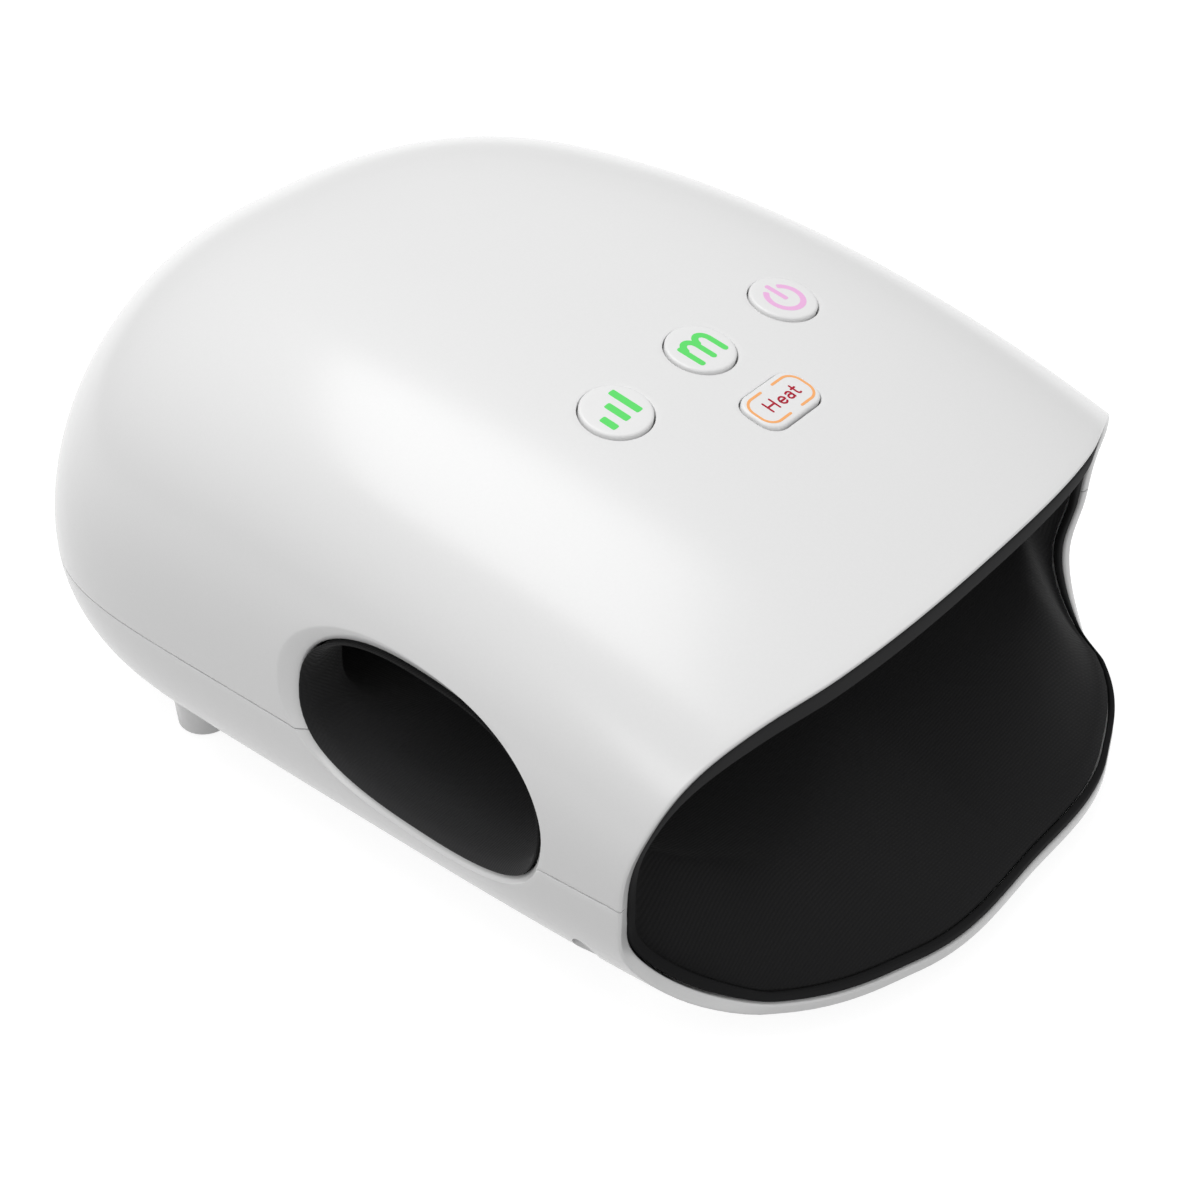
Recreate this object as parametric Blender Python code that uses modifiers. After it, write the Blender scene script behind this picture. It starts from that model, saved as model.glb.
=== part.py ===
"""Cordless hand massager: a two-part casing round a fabric-lined hand tunnel, with bags, pump and boards.

Metres, +Z up. The mouth of the tunnel looks towards -Y, and the origin is on the floor under the middle of
the body. Half-outlines run by a station s: 0 at the middle of the top, 1 at the seam, 2 at the edge of the
base and 3 at the middle of the base.
"""

import math

import bmesh
import bpy
import numpy as np
from mathutils import Matrix, Vector

# The body's outer skin
HALF_WIDTH = 0.080
FRONT_HALF_WIDTH = 0.076
REAR_Y = 0.1083
WIDEST_Y = 0.0170
CROWN_Y = 0.0259
FRONT_Y = -0.0954
SEAM_Z = 0.0358
BASE_Z = 0.0065
CROWN_Z = 0.0944
VISOR_Z = 0.0710
BASE_SHARE = 0.76
REAR_POWER = 0.763

# The front edge of the casing, as y at a few stations: visor, waist at the seam, tongue
EDGE_STATIONS = (0, 0.3, 0.45, 0.6, 0.8, 1.0, 1.06, 1.35, 1.75, 2.0, 2.4, 3.0)
EDGE_Y = (
    -0.0908, -0.0874, -0.0830, -0.0790, -0.0753, -0.0723, -0.0722, -0.0717, -0.0820, -0.0909, -0.1050,
    -0.1082,
)
BASE_STRETCH = 2.1

WALL = 0.0025
VISOR_LIP = 0.0010
GAP = 0.0003

# Thumb holes: an outer outline on the skin that slopes in to a smaller one
HOLE_OUTER = dict(y=-0.0253, z=0.0437, half_length=0.0309, half_height=0.0198, tilt=9.0, power=2.25)
HOLE_INNER = dict(y=-0.0268, z=0.0431, half_length=0.0279, half_height=0.0179, tilt=6.0, power=2.5)
HOLE_SLOPE_DEPTH = 0.0020
COLLAR_DEPTH = 0.0050
COLLAR_WALL = 0.0022

# Mouth trim and lining
TRIM_START = 0.0002
TRIM_DEPTH = 0.0014
TRIM_THICKNESS = 0.0022
TRIM_THICKER_ABOVE = 0.0014
TRIM_GAP = 0.0005
LINING = 0.0012
TUNNEL_HALF_WIDTH = 0.0655
TUNNEL_FLOOR = 0.0245
TUNNEL_CEILING = 0.0630
TUNNEL_STRAIGHT_Y = 0.040
TUNNEL_END_Y = 0.0640
SLEEVE_INNER_X = 0.045
SLEEVE_INNER_SHARE = 0.75

BAG = 0.0040
FILM = 0.0006
TRAY = 0.0016
PALM_BAG_Y = (-0.050, -0.003)
FINGER_BAG_Y = (0.003, 0.038)

# Buttons, by their centre on the skin
BUTTON_RADIUS = 0.0067
BUTTON_RISE = 0.0009
BUTTONS = {
    "power": (0.0251, -0.0282),
    "mode": (0.0, -0.0276),
    "level": (-0.0251, -0.0282),
    "heat": (0.0, -0.0456),
}
HEAT_HALF_SIZE = (0.0080, 0.0048)
HEAT_CORNER = 0.0034
BUTTON_CLEARANCE = 0.0003
FLANGE = 0.0009
CAP_BOTTOM = -0.0040
CAP_STEM = (0.0020, -0.0046)
PLUNGER_RADIUS = 0.0017
PLUNGER_END = -0.0064
SWITCH_TOP = -0.0056
SWITCH_HALF = 0.0030
BOARD_TILT = math.radians(11.5)
BOARD_DEPTH = 0.0095
BOARD_SIZE = (0.078, 0.044, 0.0014)

# Feet and screws
FOOT_RADIUS = 0.0060
FOOT_Z = 0.0004
PAD_RADIUS = 0.0042
PAD_HEIGHT = 0.0024
FEET = {"front": (0.0570, -0.0660), "rear": (0.0632, 0.0497)}
BOSS_TOP = SEAM_Z - GAP/2
SCREWS = {
    "front": dict(x=0.0730, y=-0.0611, seat=0.0250, post_radius=0.0028, post_top=0.0520),
    "rear": dict(x=0.0520, y=0.0780, seat=0.0240, post_radius=0.0034, post_top=0.0900),
}
WELL_RADIUS = 0.0028
BOSS_RADIUS = 0.0035
SHANK_HOLE = 0.0017
PILOT_HOLE = 0.0016
PILOT_DEPTH = 0.0135

# Rear compartment
BULKHEAD_Y = (0.0665, 0.0685)
CELL_RADIUS = 0.0092
CELL_LENGTH = 0.065
CELL_Y = 0.0795
CELL_Z = 0.0195
PUMP_Y = 0.0816
PUMP_Z = 0.0610
MOTOR_RADIUS = 0.0120
SOCKET_Z = 0.0290
VALVE_X = 0.0405
VALVE_WIDTH = 0.0105

RIGHT, LEFT = 1, -1
SIDES = {"right": RIGHT, "left": LEFT}


def clear_scene():
    for old in list(bpy.data.objects):
        bpy.data.objects.remove(old, do_unlink=True)


def collection(name):
    made = bpy.data.collections.new(name)
    bpy.context.scene.collection.children.link(made)
    return made


clear_scene()
PARTS = collection("hand_massager")
CUTTERS = collection("cutters")


def finish(name, colour, roughness, metallic=0.0):
    """A Principled material, made once for each name."""
    found = bpy.data.materials.get(name)
    if found:
        return found
    made = bpy.data.materials.new(name)
    made.use_nodes = True
    made.diffuse_color = (*colour, 1)
    shader = made.node_tree.nodes["Principled BSDF"]
    shader.inputs["Base Color"].default_value = (*colour, 1)
    shader.inputs["Roughness"].default_value = roughness
    shader.inputs["Metallic"].default_value = metallic
    return made


WHITE = finish("white_gloss_abs", (0.80, 0.80, 0.80), 0.25)
CAP_WHITE = finish("button_white", (0.82, 0.82, 0.82), 0.35)
TRIM_GREY = finish("trim_dark_grey", (0.035, 0.035, 0.035), 0.6)
FABRIC = finish("black_knit_fabric", (0.012, 0.012, 0.012), 0.9)
BLADDER = finish("air_bag_film", (0.32, 0.33, 0.35), 0.45)
COPPER = finish("heating_film", (0.55, 0.25, 0.08), 0.4)
TRAY_BLACK = finish("black_abs", (0.03, 0.03, 0.03), 0.5)
STEEL = finish("steel", (0.55, 0.55, 0.56), 0.3, 1.0)
PUMP_WHITE = finish("pump_plastic", (0.60, 0.60, 0.58), 0.5)
SILICONE = finish("silicone", (0.72, 0.72, 0.70), 0.55)
RUBBER = finish("grey_rubber", (0.35, 0.35, 0.35), 0.8)
BOARD_GREEN = finish("board_green", (0.02, 0.16, 0.07), 0.4)
CELL_BLUE = finish("cell_sleeve", (0.05, 0.16, 0.42), 0.35)
SWITCH_BLACK = finish("switch_black", (0.02, 0.02, 0.02), 0.4)
WIRE_RED = finish("wire_sleeve", (0.30, 0.03, 0.03), 0.5)


def add(name, mesh, material, matrix=None):
    """Puts a mesh in the scene as a part."""
    made = bpy.data.objects.new(name, mesh)
    PARTS.objects.link(made)
    mesh.materials.clear()
    mesh.materials.append(material)
    if matrix is not None:
        made.matrix_world = matrix
    return made


def as_cutter(made):
    """Turns a part into a hidden helper."""
    PARTS.objects.unlink(made)
    CUTTERS.objects.link(made)
    made.hide_render = True
    made.display_type = "WIRE"
    return made


def boolean(target, other, operation, solver="EXACT"):
    modifier = target.modifiers.new(other.name, "BOOLEAN")
    modifier.operation = operation
    modifier.solver = solver
    modifier.object = other
    return modifier


def smooth(mesh, degrees=35):
    mesh.shade_smooth()
    mesh.set_sharp_from_angle(angle=math.radians(degrees))


def cylinder_mesh(name, radius, low, high, segments=24, top_radius=None):
    """A closed cylinder or cone along local Z, from low to high."""
    mesh = bpy.data.meshes.new(name)
    bm = bmesh.new()
    bmesh.ops.create_cone(
        bm,
        cap_ends=True,
        segments=segments,
        radius1=radius,
        radius2=radius if top_radius is None else top_radius,
        depth=high - low,
        matrix=Matrix.Translation((0, 0, (low + high)/2)),
    )
    bm.to_mesh(mesh)
    bm.free()
    smooth(mesh)
    return mesh


def rod(name, material, start, end, radius, segments=24, top_radius=None):
    """A cylinder between two points, with its origin at the first."""
    start, end = Vector(start), Vector(end)
    mesh = cylinder_mesh(name, radius, 0, (end - start).length, segments, top_radius)
    turn = (end - start).to_track_quat("Z", "Y").to_matrix().to_4x4()
    return add(name, mesh, material, Matrix.Translation(start) @ turn)


def block(name, material, low, high, bevel=0.0):
    """A box between two corners, with its origin at its middle."""
    low, high = Vector(low), Vector(high)
    mesh = bpy.data.meshes.new(name)
    bm = bmesh.new()
    bmesh.ops.create_cube(bm, size=1, matrix=Matrix.Diagonal((*(high - low), 1)))
    bm.to_mesh(mesh)
    bm.free()
    made = add(name, mesh, material, Matrix.Translation((low + high)/2))
    if bevel:
        rounding = made.modifiers.new("rounding", "BEVEL")
        rounding.width = bevel
        rounding.segments = 2
    return made


def joined(name, pieces):
    """One cutter or blank made of several meshes, kept in world space."""
    bm = bmesh.new()
    for piece in pieces:
        copy = piece.data.copy()
        copy.transform(piece.matrix_world)
        bm.from_mesh(copy)
        bpy.data.meshes.remove(copy)
        bpy.data.objects.remove(piece, do_unlink=True)
    mesh = bpy.data.meshes.new(name)
    bm.to_mesh(mesh)
    bm.free()
    return as_cutter(add(name, mesh, WHITE))


def ease(x):
    """0 below 0, 1 above 1, and a smooth step between."""
    x = np.clip(x, 0, 1)
    return x*x*(3 - 2*x)


def through(x, stations, values):
    """A smooth curve through the given points, level at both ends."""
    stations, values = np.array(stations, float), np.array(values, float)
    slopes = np.gradient(values, stations)
    slopes[[0, -1]] = 0
    i = np.clip(np.searchsorted(stations, x) - 1, 0, len(stations) - 2)
    step = stations[i + 1] - stations[i]
    t = (x - stations[i])/step
    rise = ease(t)
    start = t*(1 - t)**2*step*slopes[i]
    end = t*t*(t - 1)*step*slopes[i + 1]
    return values[i] + (values[i + 1] - values[i])*rise + start + end


def half_width(y):
    """The plan outline: nearly straight flanks and a broad round back."""
    t = np.clip((y - WIDEST_Y)/(REAR_Y - WIDEST_Y), 0, 1)
    rear = HALF_WIDTH*(1 - t**5)**(REAR_POWER + (0.5 - REAR_POWER)*t**24)
    t = np.clip((WIDEST_Y - y)/(WIDEST_Y - FRONT_Y), 0, 1.2)
    front = HALF_WIDTH - (HALF_WIDTH - FRONT_HALF_WIDTH)*t**3.6
    return np.where(y > WIDEST_Y, rear, front)


def crown(y):
    """The height of the top along the middle of the body."""
    t = np.clip((y - CROWN_Y)/(REAR_Y - CROWN_Y), 0, 1)
    rear = SEAM_Z + (CROWN_Z - SEAM_Z)*(1 - t**3.2)**0.46
    t = np.clip((CROWN_Y - y)/(CROWN_Y - FRONT_Y), 0, 1.2)
    front = CROWN_Z - (CROWN_Z - VISOR_Z)*t**1.78
    return np.where(y > CROWN_Y, rear, front)


def section_powers(y):
    """How square the upper half's cross-section is: sideways and upwards, at the front, middle and back."""
    t = np.clip((y - FRONT_Y - 0.002)/(REAR_Y - FRONT_Y - 0.002), 0, 1)
    front, middle, back = (1 - t)*(1 - 2*t), 4*t*(1 - t), t*(2*t - 1)
    return 2.5*front + 3.3*middle + 2.15*back, 2.4*front + 2.82*middle + 1.3*back


def skin(s, y):
    """The outer skin's right half. Past the widest place the lower half draws in towards the base."""
    s, y = np.broadcast_arrays(np.asarray(s, float), np.asarray(y, float))
    width, top = half_width(y), crown(y)
    across, upward = section_powers(y)
    angle = math.pi/2*(1 - np.clip(s, 0, 1))
    x = width*np.abs(np.cos(angle))**(2/across)
    z = SEAM_Z + (top - SEAM_Z)*np.abs(np.sin(angle))**(2/upward)
    angle = math.pi/2*np.clip(s - 1, 0, 1)
    share = 1 - (1 - BASE_SHARE)*(1 - np.abs(np.cos(angle))**0.952)
    low = s > 1
    x = np.where(low, width*share, x)
    z = np.where(low, SEAM_Z - (SEAM_Z - BASE_Z)*np.abs(np.sin(angle))**1.053, z)
    y = np.where(low & (y > WIDEST_Y), WIDEST_Y + (y - WIDEST_Y)*share, y)
    x = np.where(s > 2, x*(3 - np.clip(s, 2, 3)), x)
    x = np.where((s <= 0) | (s >= 3), 0, x)
    return np.stack([x, y, z], -1)


def inward(surface, s, y):
    """Unit vectors into the body, square to a surface given by s and y."""
    ds, dy = 0.004, 0.0002
    along = surface(np.clip(s + ds, 0, 3), y) - surface(np.clip(s - ds, 0, 3), y)
    back = surface(s, y + dy) - surface(s, y - dy)
    normal = np.cross(back, along)
    normal[..., 0] = np.where((s <= 0) | (s >= 3), 0, normal[..., 0])
    return normal/np.maximum(np.linalg.norm(normal, axis=-1, keepdims=True), 1e-12)


def inset(s, y, depth, surface=skin):
    """A point under a surface, by a depth."""
    s, y, depth = np.broadcast_arrays(np.asarray(s, float), np.asarray(y, float), np.asarray(depth, float))
    return surface(s, y) + inward(surface, s, y)*depth[..., None]


def edge_place(s):
    """s with its run across the base stretched, so that the edge turns the base's corner smoothly."""
    s = np.asarray(s, float)
    return np.where(s > 2, 2 + (s - 2)*BASE_STRETCH, s)


def front_edge(s):
    return through(edge_place(s), edge_place(EDGE_STATIONS), EDGE_Y)


def top_skin(x, y):
    """Height of the skin above a point of the plan, on the upper half."""
    across, upward = section_powers(y)
    reach = np.clip(np.abs(x)/half_width(y), 0, 1)
    return SEAM_Z + (crown(y) - SEAM_Z)*(1 - reach**across)**(1/upward)


def side_skin(y, z):
    """How far out the skin is, at a place in the side view, ahead of the widest place."""
    across, upward = section_powers(y)
    rise = np.clip((z - SEAM_Z)/(crown(y) - SEAM_Z), 0, 1)
    above = (1 - rise**upward)**(1/across)
    drop = np.clip((SEAM_Z - z)/(SEAM_Z - BASE_Z), 0, 1)
    lean = np.sqrt(1 - drop**(2/1.053))**0.952
    return half_width(y)*np.where(z >= SEAM_Z, above, 1 - (1 - BASE_SHARE)*(1 - lean))


def wall_at(y, z):
    """The casing's wall: a thin lip at the visor's edge, full thickness behind it and lower down."""
    share = np.maximum(ease((y - EDGE_Y[0])/0.024), ease((0.066 - z)/0.014))
    return VISOR_LIP + (WALL - VISOR_LIP)*share


def grid_mesh(name, points):
    """A mesh from a grid of points, with equal points merged."""
    rows, columns = points.shape[:2]
    index = np.arange(rows*columns).reshape(rows, columns)
    quads = np.stack([index[:-1, :-1], index[1:, :-1], index[1:, 1:], index[:-1, 1:]], -1).reshape(-1, 4)
    mesh = bpy.data.meshes.new(name)
    mesh.from_pydata(points.reshape(-1, 3).tolist(), [], quads.tolist())
    bm = bmesh.new()
    bm.from_mesh(mesh)
    bmesh.ops.remove_doubles(bm, verts=bm.verts, dist=1e-6)
    bm.to_mesh(mesh)
    bm.free()
    return mesh


def tube_mesh(name, rings, closed_rings=False):
    """A closed solid through rings of points. Its ends are capped, or its last ring joins its first."""
    rings = np.asarray(rings)
    count, around = rings.shape[:2]
    index = np.arange(count*around).reshape(count, around)
    index = np.hstack([index, index[:, :1]])
    if closed_rings:
        index = np.vstack([index, index[:1]])
    quads = np.stack([index[:-1, :-1], index[:-1, 1:], index[1:, 1:], index[1:, :-1]], -1).reshape(-1, 4)
    faces = quads.tolist()
    if not closed_rings:
        faces += [index[0, :-1][::-1].tolist(), index[-1, :-1].tolist()]
    mesh = bpy.data.meshes.new(name)
    mesh.from_pydata(rings.reshape(-1, 3).tolist(), [], faces)
    bm = bmesh.new()
    bm.from_mesh(mesh)
    bmesh.ops.recalc_face_normals(bm, faces=bm.faces)
    bm.to_mesh(mesh)
    bm.free()
    return mesh


def mirrored(made):
    modifier = made.modifiers.new("mirror", "MIRROR")
    modifier.merge_threshold = 0.0001


UPPER_STATIONS = np.linspace(0, 1, 13)
FLANK_STATIONS = np.linspace(1, 2, 8)[1:]
BASE_STATIONS = np.linspace(2, 3, 7)[1:]
STATIONS = np.concatenate([UPPER_STATIONS, FLANK_STATIONS, BASE_STATIONS])
ROWS = np.linspace(0, 1, 19)


def skin_grid(depth=0.0):
    """The skin's right half from the front edge to the back, with rows closing up towards the back."""
    s = STATIONS[:, None]
    edge = front_edge(s)
    y = edge + (REAR_Y - edge)*(1 - (1 - ROWS[None, :])**1.7)
    if depth == 0:
        return skin(s, y)
    y = np.minimum(y, REAR_Y - 0.0004)
    points = inset(np.broadcast_to(s, y.shape), y, depth)
    points[:, -1, 0] = 0
    return points


def casing(name):
    """The whole casing, before it is parted at the seam. The wall thins to a lip at the visor's edge."""
    made = add(name, grid_mesh(name, skin_grid()), WHITE)
    smooth(made.data)
    wall = made.vertex_groups.new(name="wall")
    for vertex in made.data.vertices:
        share = (wall_at(vertex.co.y, vertex.co.z) - VISOR_LIP)/(WALL - VISOR_LIP)
        wall.add([vertex.index], float(share), "REPLACE")
    mirrored(made)
    skin_wall = made.modifiers.new("wall", "SOLIDIFY")
    skin_wall.thickness = WALL
    skin_wall.offset = -1
    skin_wall.vertex_group = "wall"
    skin_wall.thickness_vertex_group = VISOR_LIP/WALL
    return made


def body_volume(name, depth=0.0):
    """The body as one closed solid, its mouth closed by a fan, to trim things by."""
    made = add(name, grid_mesh(name, skin_grid(depth)), WHITE)
    bm = bmesh.new()
    bm.from_mesh(made.data)
    right = bm.verts[:] + bm.edges[:] + bm.faces[:]
    bmesh.ops.mirror(bm, geom=right, axis="X", merge_dist=0.00002)
    rim = [edge for edge in bm.edges if edge.is_boundary]
    middle = bm.verts.new((0, FRONT_Y, 0.040))
    for edge in rim:
        bm.faces.new((*edge.verts, middle))
    bmesh.ops.recalc_face_normals(bm, faces=bm.faces)
    bm.to_mesh(made.data)
    bm.free()
    return as_cutter(made)


def hole_outline(shape, count=36, grow=0.0):
    """A thumb hole's outline in the side view, as y and z."""
    angle = np.linspace(0, 2*math.pi, count, endpoint=False)
    c, s = np.cos(angle), np.sin(angle)
    along = (shape["half_length"] + grow)*np.sign(c)*np.abs(c)**(2/shape["power"])
    rise = (shape["half_height"] + grow)*np.sign(s)*np.abs(s)**(2/shape["power"])
    tilt = math.radians(shape["tilt"])
    y = shape["y"] + along*math.cos(tilt) - rise*math.sin(tilt)
    z = shape["z"] + along*math.sin(tilt) + rise*math.cos(tilt)
    return y, z


def hole_ring(y, z, depth, side):
    return np.stack([side*(side_skin(y, z) - depth), y, z], -1)


def thumb_cutters():
    """The two tapered cutters that open the thumb holes through wall and collar."""
    pieces = []
    outer_y, outer_z = hole_outline(HOLE_OUTER)
    inner_y, inner_z = hole_outline(HOLE_INNER)
    for name, side in SIDES.items():
        flare_y = outer_y + 1.5*(outer_y - inner_y)
        flare_z = outer_z + 1.5*(outer_z - inner_z)
        outside = hole_ring(outer_y, outer_z, -0.003, side)
        outside[:, 1], outside[:, 2] = flare_y, flare_z
        rings = [
            outside,
            hole_ring(outer_y, outer_z, 0, side),
            hole_ring(inner_y, inner_z, HOLE_SLOPE_DEPTH, side),
            hole_ring(inner_y, inner_z, 2*COLLAR_DEPTH, side),
        ]
        pieces.append(add("thumb_cutter_" + name, tube_mesh("thumb_cutter", rings), WHITE))
    return joined("thumb_cutters", pieces)


def thumb_collars():
    """Rings behind the wall that carry the slope of each thumb hole inward."""
    pieces = []
    start, overlap = 0.0014, -0.0005
    corners = [(COLLAR_WALL, start), (COLLAR_WALL, COLLAR_DEPTH), (overlap, COLLAR_DEPTH), (overlap, start)]
    for side in SIDES.values():
        rings = [hole_ring(*hole_outline(HOLE_INNER, grow=grow), depth, side) for grow, depth in corners]
        pieces.append(add("collar", tube_mesh("collar", rings, True), WHITE))
    return joined("thumb_collars", pieces)


def half_space(name, low, high):
    return as_cutter(block(name, WHITE, (-0.2, -0.2, low), (0.2, 0.2, high)))


def screw_places():
    for row, place in SCREWS.items():
        for name, side in SIDES.items():
            yield f"{row}_{name}", side*place["x"], place


def foot_places():
    for row, (x, y) in FEET.items():
        for name, side in SIDES.items():
            yield f"{row}_{name}", side*x, y


def lower_bosses(volume):
    """Bosses for the screws, trimmed to the body's skin."""
    pieces = []
    for name, x, place in screw_places():
        y = place["y"]
        pieces.append(rod("boss_" + name, WHITE, (x, y, 0), (x, y, BOSS_TOP), BOSS_RADIUS, 16))
    made = joined("lower_bosses", pieces)
    boolean(made, volume, "INTERSECT")
    return made


def upper_posts(volume):
    """Posts that hang from the upper shell and take the screws' points."""
    pieces = []
    for name, x, place in screw_places():
        low, top = (x, place["y"], BOSS_TOP + GAP), (x, place["y"], place["post_top"])
        pieces.append(rod("post_" + name, WHITE, low, top, place["post_radius"], 12))
    made = joined("upper_posts", pieces)
    boolean(made, volume, "INTERSECT")
    return made


def post_ribs(volume):
    """Short ribs that tie the front posts to the wall."""
    pieces = []
    place = SCREWS["front"]
    for name, side in SIDES.items():
        xs = sorted((side*(place["x"] + 0.0010), side*0.0800))
        low = (xs[0], place["y"] - 0.0008, SEAM_Z + 0.0010)
        high = (xs[1], place["y"] + 0.0008, place["post_top"])
        pieces.append(block("rib_" + name, WHITE, low, high))
    made = joined("post_ribs", pieces)
    boolean(made, volume, "INTERSECT")
    return made


def screw_wells():
    """Wells from below up to each screw's seat."""
    pieces = []
    for name, x, place in screw_places():
        low, seat = (x, place["y"], -0.005), (x, place["y"], place["seat"])
        pieces.append(rod("well_" + name, WHITE, low, seat, WELL_RADIUS, 20))
    return joined("screw_wells", pieces)


def shank_holes():
    """Clearance holes through the bosses, above the seats."""
    pieces = []
    for name, x, place in screw_places():
        low, high = (x, place["y"], place["seat"] - 0.002), (x, place["y"], BOSS_TOP + 0.002)
        pieces.append(rod("shank_hole_" + name, WHITE, low, high, SHANK_HOLE, 10))
    return joined("shank_holes", pieces)


def pilot_holes():
    pieces = []
    for name, x, place in screw_places():
        low, high = (x, place["y"], BOSS_TOP - 0.001), (x, place["y"], BOSS_TOP + PILOT_DEPTH)
        pieces.append(rod("pilot_" + name, WHITE, low, high, PILOT_HOLE, 10))
    return joined("pilot_holes", pieces)


def foot_stubs():
    pieces = []
    for name, x, y in foot_places():
        low, high = (x, y, FOOT_Z), (x, y, 0.0135)
        pieces.append(rod("foot_" + name, WHITE, low, high, FOOT_RADIUS - 0.0003, 20, FOOT_RADIUS + 0.0002))
    return joined("foot_stubs", pieces)


def pad_recesses():
    pieces = [
        rod("recess_" + name, WHITE, (x, y, -0.002), (x, y, PAD_HEIGHT + GAP), PAD_RADIUS + GAP, 20)
        for name, x, y in foot_places()
    ]
    return joined("pad_recesses", pieces)


def skin_frame(x, y):
    """A place on top of the skin: its matrix has local Z square to the skin and local X to the right."""
    step = 0.0005
    slope_x = (top_skin(x + step, y) - top_skin(x - step, y))/(2*step)
    slope_y = (top_skin(x, y + step) - top_skin(x, y - step))/(2*step)
    up = Vector((-float(slope_x), -float(slope_y), 1)).normalized()
    right = Vector((1, 0, 0)) - up*up.x
    right.normalize()
    turn = Matrix((right, up.cross(right), up)).transposed().to_4x4()
    return Matrix.Translation((x, y, float(top_skin(x, y)))) @ turn


def turned(name, material, profile, matrix, steps=24):
    """A profile of radius and height, from the top of the axis down its outer side, spun round local Z."""
    mesh = bpy.data.meshes.new(name)
    points = [(radius, 0, height) for radius, height in profile]
    mesh.from_pydata(points, [(i, i + 1) for i in range(len(points) - 1)], [])
    made = add(name, mesh, material, matrix)
    spin = made.modifiers.new("spin", "SCREW")
    spin.steps = spin.render_steps = steps
    spin.use_merge_vertices = True
    spin.merge_threshold = 0.00001
    return made


def button_holes():
    pieces = []
    for name, (x, y) in BUTTONS.items():
        frame = skin_frame(x, y)
        if name == "heat":
            half_x, half_y = (half + BUTTON_CLEARANCE for half in HEAT_HALF_SIZE)
            corner = HEAT_CORNER + BUTTON_CLEARANCE
            mesh = rounded_block_mesh("heat_hole", half_x, half_y, -0.0045, 0.003, corner)
        else:
            mesh = cylinder_mesh(name + "_hole", BUTTON_RADIUS + BUTTON_CLEARANCE, -0.0045, 0.003, 24)
        pieces.append(add(name + "_hole", mesh, WHITE, frame))
    return joined("button_holes", pieces)


def charging_slot():
    """The opening at the back for the charging plug, a flat slot with round ends."""
    mesh = rounded_block_mesh("charging_slot", 0.0049, 0.0019, 0, 0.030, 0.0018, 3)
    frame = Matrix.Translation((0, 0.090, SOCKET_Z)) @ Matrix.Rotation(math.radians(-90), 4, "X")
    return as_cutter(add("charging_slot", mesh, WHITE, frame))


def make_casing():
    """Both shells. EXACT loses the wall once the thumb holes are cut, so these cuts use MANIFOLD."""
    volume = body_volume("body_volume", 0.0008)
    collars, holes = thumb_collars(), thumb_cutters()

    upper = casing("upper_shell")
    below = half_space("below_seam", -0.1, SEAM_Z + GAP/2)
    steps = [(collars, "UNION"), (holes, "DIFFERENCE"), (below, "DIFFERENCE")]
    steps += [(upper_posts(volume), "UNION"), (post_ribs(volume), "UNION")]
    steps += [(pilot_holes(), "DIFFERENCE"), (button_holes(), "DIFFERENCE")]
    for other, operation in steps:
        boolean(upper, other, operation, "MANIFOLD")

    lower = casing("lower_shell")
    above = half_space("above_seam", SEAM_Z - GAP/2, 0.2)
    steps = [(collars, "UNION"), (holes, "DIFFERENCE"), (above, "DIFFERENCE")]
    steps += [(lower_bosses(volume), "UNION"), (foot_stubs(), "UNION"), (screw_wells(), "DIFFERENCE")]
    steps += [(shank_holes(), "DIFFERENCE"), (pad_recesses(), "DIFFERENCE")]
    steps += [(charging_slot(), "DIFFERENCE")]
    for other, operation in steps:
        boolean(lower, other, operation, "MANIFOLD")


def lip_thickness(s):
    """The casing's wall just behind its front edge."""
    edge = skin(s, front_edge(s) + TRIM_DEPTH)
    return wall_at(edge[..., 1], edge[..., 2])


def trim_thickness(s):
    """The trim hangs deeper under the visor than it stands along the tongue."""
    return TRIM_THICKNESS + TRIM_THICKER_ABOVE*(1 - ease((s - 0.35)/0.65))


def loop_of(half):
    """A closed loop from the right half of one, whose ends lie in the middle plane."""
    left = half[1:-1][::-1]*np.array([-1, 1, 1])
    return np.concatenate([half, left])


def make_mouth_trim():
    """A soft dark ring that follows the casing's front edge and holds the lining's hem."""
    s = STATIONS
    outer, thickness = lip_thickness(s) + TRIM_GAP, trim_thickness(s)
    corners = [
        inset(s, front_edge(s) + start, depth)
        for start, depth in (
            (TRIM_START, outer),
            (TRIM_START, outer + thickness),
            (TRIM_START + TRIM_DEPTH, outer + thickness),
            (TRIM_START + TRIM_DEPTH, outer),
        )
    ]
    for corner in corners:
        corner[[0, -1], 0] = 0
    add("mouth_trim", tube_mesh("mouth_trim", [loop_of(corner) for corner in corners], True), TRIM_GREY)


def flare_length(s):
    """How soon the tunnel draws in from the mouth: at once beside the waist, slowly above and below."""
    return 0.006 + 0.033*np.clip((1.25 - s)/1.25, 0, 1)**1.5 + 0.038*np.clip((s - 1.25)/1.75, 0, 1)**1.5


def tunnel_section(s, share=1.0):
    """The tunnel's cross-section away from the mouth, as x and z."""
    angle = np.where(s < 1, math.pi/2*(1 - s), -math.pi/4*(s - 1))
    c, sn = np.cos(angle), np.sin(angle)
    middle = (TUNNEL_CEILING + TUNNEL_FLOOR)/2
    x = TUNNEL_HALF_WIDTH*share*np.abs(c)**(2/3)
    z = middle + (TUNNEL_CEILING - TUNNEL_FLOOR)/2*share*np.sign(sn)*np.abs(sn)**(2/3)
    return x, z


def hem(s):
    """Where the lining's inner face starts, just behind the mouth trim."""
    start = front_edge(s) + TRIM_START + TRIM_DEPTH + 3*GAP
    return inset(s, start, lip_thickness(s) + TRIM_GAP + trim_thickness(s))


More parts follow.
